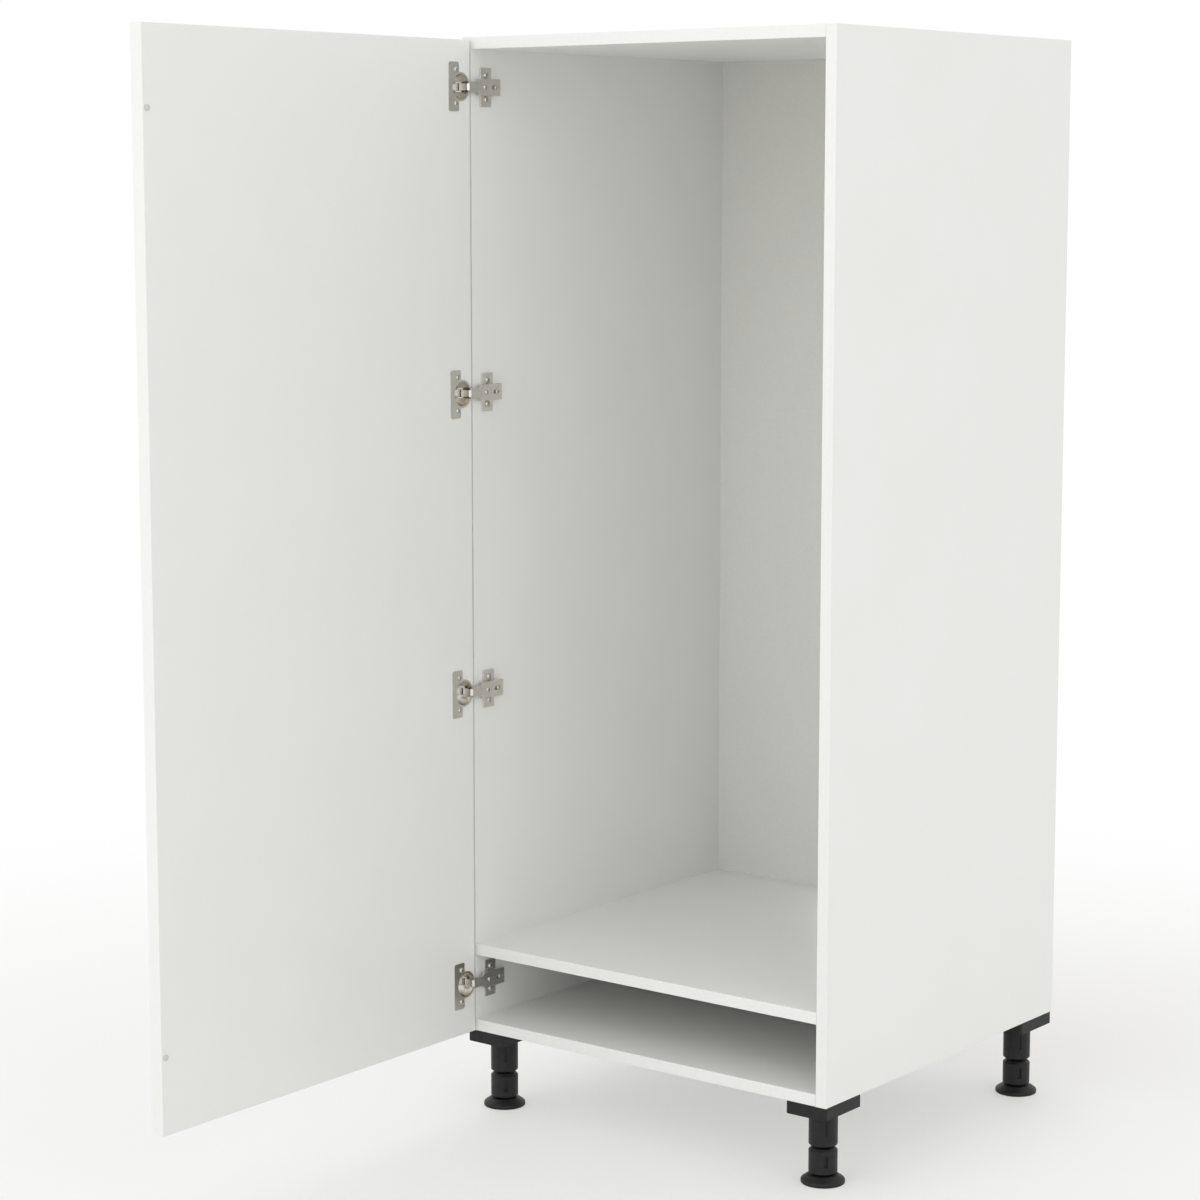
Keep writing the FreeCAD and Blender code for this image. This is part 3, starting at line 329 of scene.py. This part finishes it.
def mouldedPolypropylene(name, spec):
    material, tree, shader, coords = startMaterial(name)
    rub = addNode(tree, "ShaderNodeTexNoise", {
        "Vector": coords.outputs["Object"], "Scale": perMm(spec["rubMm"]),
        "Detail": 6.0, "Roughness": 0.65})
    worn = addNode(tree, "ShaderNodeMapRange", {
        "Value": rub.outputs["Fac"], "From Min": spec["rubFrom"], "From Max": spec["rubTo"]})
    skin = addNode(tree, "ShaderNodeTexNoise", {
        "Vector": coords.outputs["Object"], "Scale": perMm(spec["skinMm"]), "Detail": 3.0})
    colour = addNode(tree, "ShaderNodeMix", {
        share: worn.outputs[0], firstColour: hexColour(spec["plastic"]),
        secondColour: hexColour(spec["rubbed"])}, data_type="RGBA")
    rough = addNode(tree, "ShaderNodeMapRange", {
        "Value": skin.outputs["Fac"], "To Min": spec["gloss"][0], "To Max": spec["gloss"][1]})
    bump = addNode(tree, "ShaderNodeBump", {
        "Strength": spec["bump"], "Distance": spec["depthMm"] * mm, "Height": skin.outputs["Fac"]})
    feed(tree, shader, {
        "Base Color": colour.outputs[mixedColour], "Roughness": rough.outputs[0],
        "Normal": bump.outputs[0], "Specular IOR Level": spec["specular"]})
    return material


# Clear soft polyurethane: a milky drop that lets some of the board's white through.
bumperSpec = {
    "rubber": "#EFEFEA", "haze": "#DEDED8", "hazeMm": 3.0, "rough": 0.22, "ior": 1.5, "clear": 0.2,
}


def clearPolyurethane(name, spec):
    material, tree, shader, coords = startMaterial(name)
    haze = addNode(tree, "ShaderNodeTexNoise", {
        "Vector": coords.outputs["Object"], "Scale": perMm(spec["hazeMm"]), "Detail": 2.0})
    colour = addNode(tree, "ShaderNodeMix", {
        share: haze.outputs["Fac"], firstColour: hexColour(spec["rubber"]),
        secondColour: hexColour(spec["haze"])}, data_type="RGBA")
    feed(tree, shader, {
        "Base Color": colour.outputs[mixedColour], "Roughness": spec["rough"], "IOR": spec["ior"],
        "Transmission Weight": spec["clear"]})
    return material


finishes = {
    "sideBoard": melamineBoard("white melamine board, upright", 0, melamineSpec),
    "levelBoard": melamineBoard("white melamine board, level", 2, melamineSpec),
    "edge_band": absBand("white ABS edge band", bandSpec),
    "hardboard": lacqueredHardboard("white lacquered hardboard", hardboardSpec),
    "beech": turnedBeech("turned beech", beechSpec),
    "hinge_steel": metalFinish("nickel plated pressed steel", nickelSpec),
    "screw_steel": metalFinish("zinc plated steel", zincPlateSpec),
    "zinc": metalFinish("die cast zinc", castZincSpec),
    "leg_plastic": mouldedPolypropylene("black moulded polypropylene", polySpec),
    "bumper": clearPolyurethane("clear polyurethane", bumperSpec),
}
levelBoards = ("bottom_panel", "appliance_shelf", "top_panel")
for name, node in nodes.items():
    slot = slotOf[name]
    if slot in ("carcass_board", "door_board"):
        slot = "levelBoard" if name in levelBoards else "sideBoard"
    node.data.materials.clear()
    node.data.materials.append(finishes[slot])
print("materials:", len(finishes), "finishes on", len(nodes), "nodes")


def settle(piece, node):  # rides with the CAD node it stands for and hides it
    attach(piece, bodyOf[node])
    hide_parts(node)


def toMesh(piece):  # modifiers become a plain mesh
    shown = piece.evaluated_get(bpy.context.evaluated_depsgraph_get())
    mesh = bpy.data.meshes.new_from_object(shown)
    piece.modifiers.clear()
    piece.data = mesh
    return piece


def newObject(name, data):
    piece = bpy.data.objects.new(name, data)
    scene.collection.objects.link(piece)
    return piece


def newPiece(name, mesh, material):
    mesh.materials.clear()
    mesh.materials.append(material)
    return newObject(name, mesh)


def workMesh(name, work):  # a bmesh becomes a mesh
    mesh = bpy.data.meshes.new(name)
    work.to_mesh(mesh)
    work.free()
    return mesh


mergeWithin = 1e-6  # metres
placeDigits = 4  # of metres, to sort by place


def mergedCopy(name):  # a CAD node's loose triangles, joined
    work = bmesh.new()
    work.from_mesh(nodes[name].data)
    bmesh.ops.remove_doubles(work, verts=work.verts, dist=mergeWithin)
    return work


def islandBoxes(name):  # lowest and highest corner of each separate solid of a node
    work = mergedCopy(name)
    waiting, boxes = set(work.verts), []
    while waiting:
        group, rim = [], [waiting.pop()]
        while rim:
            vert = rim.pop()
            group.append(vert.co.copy())
            for link in vert.link_edges:
                other = link.other_vert(vert)
                if other in waiting:
                    waiting.discard(other)
                    rim.append(other)
        low = Vector([min(spot[i] for spot in group) for i in range(3)])
        high = Vector([max(spot[i] for spot in group) for i in range(3)])
        boxes.append((low, high))
    work.free()
    # by place, so that every run has one order
    boxes.sort(key=lambda box: [round(c, placeDigits) for c in box[0]])
    return boxes


# Eased edges: angles in degrees, the weld clears slivers that the bevel leaves
easing = {"flat": 0.5, "steps": 3, "bevelFrom": 32, "sharpFrom": 50, "weldMm": 0.004}


def easedPiece(pieceName, node, material, roundMm, change=None, cutter=None):
    work = mergedCopy(node)
    if change:
        change(work)
    flat = math.radians(easing["flat"])
    bmesh.ops.dissolve_limit(work, angle_limit=flat, verts=work.verts, edges=work.edges)
    piece = newPiece(pieceName, workMesh(node + "_eased", work), material)
    if cutter:
        cutting = piece.modifiers.new("slot", "BOOLEAN")
        cutting.object = cutter
    bevel = piece.modifiers.new("edges", "BEVEL")
    bevel.width = roundMm * mm
    bevel.segments = easing["steps"]
    bevel.limit_method = "ANGLE"
    bevel.angle_limit = math.radians(easing["bevelFrom"])
    bevel.use_clamp_overlap = True
    weld = piece.modifiers.new("weld", "WELD")
    weld.merge_threshold = easing["weldMm"] * mm
    piece.data.shade_smooth()
    piece.data.set_sharp_from_angle(angle=math.radians(easing["sharpFrom"]))
    even = piece.modifiers.new("normals", "WEIGHTED_NORMAL")
    even.keep_sharp = True
    return toMesh(piece)


def prismCutter(name, lower, upper):  # a closed block between two outlines, for a Boolean to take away
    work = bmesh.new()
    below = [work.verts.new(spot) for spot in lower]
    above = [work.verts.new(spot) for spot in upper]
    work.faces.new(below)
    work.faces.new(above)
    for k in range(len(below)):
        work.faces.new([below[k - 1], below[k], above[k], above[k - 1]])
    bmesh.ops.recalc_face_normals(work, faces=work.faces)
    return newObject(name, workMesh(name, work))


# Hinges: pressed parts with edges eased by the press, and a slot in each arm for its clamp screw
hingeSpec = {
    "plateRoundMm": 0.5, "armRoundMm": 0.4, "cupRoundMm": 0.3,
    "slotWideMm": 4.6, "slotBackMm": 6.5, "slotFrontMm": 8.5, "slotDeepMm": 2.0, "slotSteps": 12,
}


def slotCutter(spot, spec):  # a slot with round ends, through the arm's web only
    half = spec["slotWideMm"] / 2 * mm
    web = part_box("hinge_arm_1")[1].x
    front, back = half - spec["slotFrontMm"] * mm, spec["slotBackMm"] * mm - half
    outline = []
    for centre, start in ((front, math.pi / 2), (back, -math.pi / 2)):
        for k in range(spec["slotSteps"] + 1):
            angle = start + math.pi * k / spec["slotSteps"]
            outline.append((spot.y + centre + half * math.cos(angle), spot.z + half * math.sin(angle)))
    lower = [(web - spec["slotDeepMm"] * mm, y, z) for y, z in outline]
    upper = [(web + spec["slotDeepMm"] * mm, y, z) for y, z in outline]
    return prismCutter("slotCutter", lower, upper)


clampSpots = [(low + high) / 2 for low, high in islandBoxes("hinge_clamp_screws")]
clampSpots.sort(key=lambda spot: spot.z)  # hinges are counted from the floor
for i, spot in enumerate(clampSpots, 1):
    slot = slotCutter(spot, hingeSpec)
    for part, cutter in (("plate", None), ("arm", slot), ("cup", None)):
        node = "hinge_%s_%d" % (part, i)
        piece = easedPiece("hinge%s.%d" % (part.title(), i), node, finishes["hinge_steel"],
                           hingeSpec[part + "RoundMm"], cutter=cutter)
        settle(piece, node)
    bpy.data.objects.remove(slot)
print("hinges:", hingeCount, "sets with eased edges")

# Legs: moulded parts with soft edges; the spindle gets the root of its thread here
legSpec = {
    "socketRoundMm": 1.2, "sleeveRoundMm": 0.7, "adjusterRoundMm": 0.8, "footRoundMm": 1.4,
    "spindleMm": 10.0, "rootMm": 9.0, "pitchMm": 3.0, "wallWithinMm": 0.02,
    "threadFrom": 1.2, "threadShort": 2.6,  # in ridges: start above the wall's foot, and less length
    "turnSteps": 40,
}


def legAxis(leg):
    return sum(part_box("leg_adjuster_" + leg), Vector()) / 2


def spindleOut(axis, spot):  # from the leg's axis to a point on the spindle's wall, or nothing
    out = Vector((spot.x - axis.x, spot.y - axis.y))
    onWall = abs(out.length - legSpec["spindleMm"] * mm) < legSpec["wallWithinMm"] * mm
    return out if onWall else None


for leg in legNames:
    axis = legAxis(leg)

    def toRoot(work):  # the spindle's wall drawn in to the bottom of its thread
        for vert in work.verts:
            out = spindleOut(axis, vert.co)
            if out:
                inward = out * (legSpec["rootMm"] / legSpec["spindleMm"] - 1)
                vert.co.x += inward.x
                vert.co.y += inward.y

    for part, change in (("socket", None), ("sleeve", None), ("adjuster", toRoot), ("foot", None)):
        node = "leg_%s_%s" % (part, leg)
        piece = easedPiece("leg%s.%s" % (part.title(), leg), node, finishes["leg_plastic"],
                           legSpec[part + "RoundMm"], change)
        settle(piece, node)
print("legs:", len(legNames), "with soft edges")


def newTree(name, sockets):  # a Geometry Nodes tree with its named inputs
    tree = bpy.data.node_groups.new(name, "GeometryNodeTree")
    tree.is_modifier = True
    for label, kind in sockets.items():
        tree.interface.new_socket(name=label, in_out="INPUT", socket_type="NodeSocket" + kind)
    tree.interface.new_socket(name="Geometry", in_out="OUTPUT", socket_type="NodeSocketGeometry")
    return tree, addNode(tree, "NodeGroupInput").outputs


def grow(name, tree, mesh, inputs):  # runs a tree on a mesh and keeps the result as a plain mesh
    piece = newObject(name, mesh)
    modifier = piece.modifiers.new(tree.name, "NODES")
    modifier.node_group = tree
    for item in tree.interface.items_tree:
        if item.in_out == "INPUT" and item.name in inputs:
            modifier[item.identifier] = inputs[item.name]
    return toMesh(piece)


# Thread on each spindle, a diamond section swept along a spiral
threadTree, given = newTree("spindleThread", {
    "Turns": "Float", "Radius": "Float", "Height": "Float", "Ridge": "Float",
    "Place": "Vector", "Finish": "Material"})
spiral = addNode(threadTree, "GeometryNodeCurveSpiral", {
    "Resolution": legSpec["turnSteps"], "Rotations": given["Turns"], "Start Radius": given["Radius"],
    "End Radius": given["Radius"], "Height": given["Height"]})
upright = addNode(threadTree, "GeometryNodeSetCurveNormal", {"Curve": spiral.outputs[0]}, mode="Z_UP")
section = addNode(threadTree, "GeometryNodeCurvePrimitiveCircle", {
    "Resolution": 4, "Radius": given["Ridge"]})
swept = addNode(threadTree, "GeometryNodeCurveToMesh", {
    "Curve": upright.outputs[0], "Profile Curve": section.outputs[0], "Fill Caps": True})
placed = addNode(threadTree, "GeometryNodeTransform", {
    "Geometry": swept.outputs[0], "Translation": given["Place"]})
whole = addNode(threadTree, "GeometryNodeRealizeInstances", {"Geometry": placed.outputs[0]})
coated = addNode(threadTree, "GeometryNodeSetMaterial", {
    "Geometry": whole.outputs[0], "Material": given["Finish"]})
addNode(threadTree, "NodeGroupOutput", {"Geometry": coated.outputs[0]})

for leg in legNames:
    axis, adjuster = legAxis(leg), "leg_adjuster_" + leg
    wall = [vert.co.z for vert in nodes[adjuster].data.vertices if spindleOut(axis, vert.co)]
    ridge = (legSpec["spindleMm"] - legSpec["rootMm"]) * mm
    start = min(wall) + legSpec["threadFrom"] * ridge
    height = max(wall) - min(wall) - legSpec["threadShort"] * ridge
    thread = grow("spindleThread." + leg, threadTree, bpy.data.meshes.new("spindleThread"), {
        "Turns": height / (legSpec["pitchMm"] * mm), "Radius": legSpec["spindleMm"] * mm - ridge,
        "Height": height, "Ridge": ridge, "Place": (axis.x, axis.y, start),
        "Finish": finishes["leg_plastic"]})
    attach(thread, bodyOf[adjuster])
print("threads:", len(legNames))


def turnedMesh(name, outline, steps):  # an outline of radius and height turned about Z
    work = bmesh.new()
    turns = [2 * math.pi * k / steps for k in range(steps)]
    rings = []
    for radius, height in outline:
        if radius == 0:
            rings.append([work.verts.new((0, 0, height))])
        else:
            rings.append([work.verts.new((radius * math.cos(t), radius * math.sin(t), height))
                          for t in turns])
    for above, below in zip(rings, rings[1:]):
        for k in range(steps):
            after = (k + 1) % steps
            corners = [above[k % len(above)], below[k % len(below)],
                       below[after % len(below)], above[after % len(above)]]
            face = list(dict.fromkeys(corners))
            if len(face) > 2:
                work.faces.new(face)
    bmesh.ops.recalc_face_normals(work, faces=work.faces)
    return workMesh(name, work)


# Screws: domed heads with a cross recess, set at the CAD screws by one tree
screwSpec = {
    "hinge_cup_screws": {"rise": 2.0, "shank": 1.75, "faces": "+x", "seed": 1},
    "hinge_plate_screws": {"rise": 2.4, "shank": 2.5, "faces": "+x", "seed": 2},
    "hinge_clamp_screws": {"rise": 2.0, "shank": 2.0, "faces": "+x", "seed": 3},
    "hinge_adjust_screws": {"rise": 2.0, "shank": 2.0, "faces": "+x", "seed": 4},
    "leg_screws": {"rise": 3.0, "shank": 2.0, "faces": "-z", "seed": 5},
    "back_panel_screws": {"rise": 1.8, "shank": 1.5, "faces": "+y", "seed": 6},
}
facingTurn = {"+x": (0, math.pi / 2, 0), "-z": (math.pi, 0, 0), "+y": (-math.pi / 2, 0, 0)}
screwShape = {
    # the dome as shares of the head's radius and rise, from its top to its rim
    "dome": ((0, 1), (0.45, 0.97), (0.72, 0.84), (0.9, 0.58), (1, 0.24), (1, 0.04), (0.96, 0)),
    "point": 1.5,  # length in shank radii
    "steps": 32, "sharpFrom": 38,
    # the cross: reach and half width in head radii, floor and top in rises, how far its tip narrows
    "crossReach": 0.57, "crossHalf": 0.13, "crossFloor": 0.3, "crossTop": 1.3, "crossTip": 0.55,
}

screwTree, given = newTree("screwSet", {
    "Seats": "Geometry", "Screw": "Object", "Facing": "Rotation", "Seed": "Int", "Finish": "Material"})
shape = addNode(screwTree, "GeometryNodeObjectInfo", {"Object": given["Screw"], "As Instance": True})
turned = addNode(screwTree, "FunctionNodeRandomValue", {
    "Max": (0, 0, math.pi), "Seed": given["Seed"]}, data_type="FLOAT_VECTOR")
spread = addNode(screwTree, "GeometryNodeInstanceOnPoints", {
    "Points": given["Seats"], "Instance": shape.outputs["Geometry"], "Rotation": given["Facing"]})
driven = addNode(screwTree, "GeometryNodeRotateInstances", {
    "Instances": spread.outputs[0], "Rotation": turned.outputs[0]})
whole = addNode(screwTree, "GeometryNodeRealizeInstances", {"Geometry": driven.outputs[0]})
coated = addNode(screwTree, "GeometryNodeSetMaterial", {
    "Geometry": whole.outputs[0], "Material": given["Finish"]})
addNode(screwTree, "NodeGroupOutput", {"Geometry": coated.outputs[0]})


def crossCutter(name, head, rise, spec):  # the driver's cross, narrower at its tip
    reach, half, tip = spec["crossReach"] * head, spec["crossHalf"] * head, spec["crossTip"]
    outline = []
    for quarter in range(4):
        c, s = math.cos(quarter * math.pi / 2), math.sin(quarter * math.pi / 2)
        corners = ((reach, -half), (reach, half), (half, half))
        outline += [(x * c - y * s, x * s + y * c) for x, y in corners]
    lower = [(x * tip, y * tip, spec["crossFloor"] * rise) for x, y in outline]
    return prismCutter(name, lower, [(x, y, spec["crossTop"] * rise) for x, y in outline])


def screwTemplate(name, head, rise, shank, length, spec):
    outline = [(out * head, up * rise) for out, up in spec["dome"]]
    outline += [(shank, 0), (shank, spec["point"] * shank - length), (0, -length)]
    screw = newPiece(name, turnedMesh(name, outline, spec["steps"]), finishes["screw_steel"])
    cross = crossCutter(name + "Cross", head, rise, spec)
    recess = screw.modifiers.new("recess", "BOOLEAN")
    recess.object = cross
    toMesh(screw)
    screw.data.shade_smooth()
    screw.data.set_sharp_from_angle(angle=math.radians(spec["sharpFrom"]))
    bpy.data.objects.remove(cross)
    return screw


for node, spec in screwSpec.items():
    sign, axis = spec["faces"][0], "xyz".index(spec["faces"][1])
    beside = (axis + 1) % 3
    rise = spec["rise"] * mm
    boxes = islandBoxes(node)
    low, high = boxes[0]
    head, length = (high[beside] - low[beside]) / 2, high[axis] - low[axis] - rise
    screw = screwTemplate(node + "One", head, rise, spec["shank"] * mm, length, screwShape)
    spots = []
    for low, high in boxes:
        spot = (low + high) / 2
        spot[axis] = high[axis] - rise if sign == "+" else low[axis] + rise
        spots.append(spot)
    seats = bpy.data.meshes.new(node + "Seats")
    seats.from_pydata(spots, [], [])
    piece = grow("screws." + node, screwTree, seats, {
        "Screw": screw, "Facing": facingTurn[spec["faces"]], "Seed": spec["seed"],
        "Finish": finishes["screw_steel"]})
    bpy.data.objects.remove(screw)
    settle(piece, node)
    print("screws:", node, len(boxes))

# Bumpers: soft domes stuck to the door's inner face
bumperShape = {"shoulder": 0.55, "steps": 40, "turns": (0.3, 0.6, 0.9, 1.2, math.pi / 2)}
pads = islandBoxes("door_bumpers")
drops = bmesh.new()
for low, high in pads:
    radius, rise, shoulder = (high.z - low.z) / 2, high.x - low.x, bumperShape["shoulder"]
    midY, midZ = (low.y + high.y) / 2, (low.z + high.z) / 2
    outline = [(radius * math.sin(t), rise * (shoulder + (1 - shoulder) * math.cos(t)))
               for t in bumperShape["turns"]]
    drop = turnedMesh("drop", [(0, rise)] + outline + [(radius, 0), (0, 0)], bumperShape["steps"])
    for vert in drop.vertices:
        x, y, z = vert.co
        vert.co = (low.x + z, midY + x, midZ + y)
    drops.from_mesh(drop)
bumpers = newPiece("doorBumpers", workMesh("doorBumpers", drops), finishes["bumper"])
bumpers.data.shade_smooth()
settle(bumpers, "door_bumpers")
print("bumpers:", len(pads))


def seenStraight(tree):  # 1 where the camera, metal or clear plastic sees the surface, else 0
    rays = addNode(tree, "ShaderNodeLightPath").outputs
    seen = addNode(tree, "ShaderNodeMath", {
        0: rays["Is Camera Ray"], 1: rays["Is Glossy Ray"]}, operation="MAXIMUM")
    seenToo = addNode(tree, "ShaderNodeMath", {
        0: seen.outputs[0], 1: rays["Is Transmission Ray"]}, operation="MAXIMUM")
    return seenToo.outputs[0]


# Floor: pale, keeps the shadow near the unit and fades to the white background further out (metres)
floorSpec = {
    "paint": "#F4F4F2", "fleck": "#EFEFED", "fleckMm": 5.0, "rough": 0.75, "white": "#FFFFFF",
    "reach": 40.0, "rimSteps": 64, "shadowTo": 0.6, "whiteFrom": 2.4, "lift": 0.35,
}
work = bmesh.new()
bmesh.ops.create_circle(work, cap_ends=True, segments=floorSpec["rimSteps"], radius=floorSpec["reach"])
floorMesh = workMesh("floor", work)
floorPaint, tree, shader, coords = startMaterial("pale studio floor")
fleck = addNode(tree, "ShaderNodeTexNoise", {
    "Vector": coords.outputs["Object"], "Scale": perMm(floorSpec["fleckMm"]), "Detail": 2.0})
colour = addNode(tree, "ShaderNodeMix", {
    share: fleck.outputs["Fac"], firstColour: hexColour(floorSpec["paint"]),
    secondColour: hexColour(floorSpec["fleck"])}, data_type="RGBA")
feed(tree, shader, {"Base Color": colour.outputs[mixedColour], "Roughness": floorSpec["rough"]})
distance = addNode(tree, "ShaderNodeVectorMath", {0: coords.outputs["Object"]}, operation="LENGTH")
away = addNode(tree, "ShaderNodeMapRange", {
    "Value": distance.outputs["Value"], "From Min": floorSpec["shadowTo"],
    "From Max": floorSpec["whiteFrom"], "To Min": floorSpec["lift"]}, interpolation_type="SMOOTHSTEP")
whiter = addNode(tree, "ShaderNodeMath", {
    0: away.outputs[0], 1: seenStraight(tree)}, operation="MULTIPLY")
white = addNode(tree, "ShaderNodeEmission", {"Color": hexColour(floorSpec["white"]), "Strength": 1.0})
both = addNode(tree, "ShaderNodeMixShader", {
    0: whiter.outputs[0], 1: shader.outputs["BSDF"], 2: white.outputs[0]})
ending = next(node for node in tree.nodes if node.type == "OUTPUT_MATERIAL")
feed(tree, ending, {"Surface": both.outputs[0]})
newPiece("floor", floorMesh, floorPaint)
print("floor")

# World: soft even light, white where the camera, metal or clear plastic sees it
worldSpec = {"light": 0.80, "white": "#FFFFFF"}
world = bpy.data.worlds.new("studio")
scene.world = world
world.use_nodes = True
tree = world.node_tree
tree.nodes.clear()
soft = addNode(tree, "ShaderNodeBackground", {
    "Color": hexColour(worldSpec["white"]), "Strength": worldSpec["light"]})
white = addNode(tree, "ShaderNodeBackground", {"Color": hexColour(worldSpec["white"]), "Strength": 1.0})
both = addNode(tree, "ShaderNodeMixShader", {
    0: seenStraight(tree), 1: soft.outputs[0], 2: white.outputs[0]})
addNode(tree, "ShaderNodeOutputWorld", {"Surface": both.outputs[0]})

# Lamps: so large and dim that no board clips to white where it mirrors one
lampSpec = {
    "key": {"at": (-1.2, -4.6, 3.4), "size": 4.8, "power": 66},
    "side": {"at": (4.4, -1.8, 2.4), "size": 3.7, "power": 30},
    "back": {"at": (-2.6, 4.4, 3.0), "size": 3.8, "power": 32},
}
lampAim = Vector((0, 0, 0.7))
for name, spec in lampSpec.items():
    lamp = bpy.data.lights.new(name, "AREA")
    lamp.size = spec["size"]
    lamp.energy = spec["power"]
    holder = newObject(name, lamp)
    holder.location = spec["at"]
    holder.rotation_euler = (lampAim - Vector(spec["at"])).to_track_quat("-Z", "Y").to_euler()
print("lights:", len(lampSpec))

# Camera: fitted to the drawing's lines, with little shift because other views keep it
cameraSpec = {
    "at": (2.352, -3.0905, 1.2911), "yaw": 37.935, "pitch": 7.628,
    "lens": 90.0, "sensor": 36, "shiftY": -0.016, "farClip": 200,
}
lens = bpy.data.cameras.new("camera")
lens.sensor_width = cameraSpec["sensor"]
lens.lens = cameraSpec["lens"]
lens.shift_y = cameraSpec["shiftY"]
lens.clip_end = cameraSpec["farClip"]
camera = newObject("camera", lens)
camera.location = cameraSpec["at"]
camera.rotation_euler = (math.radians(90 - cameraSpec["pitch"]), 0, math.radians(cameraSpec["yaw"]))
scene.camera = camera
scene.view_settings.view_transform = "Standard"
print("camera")
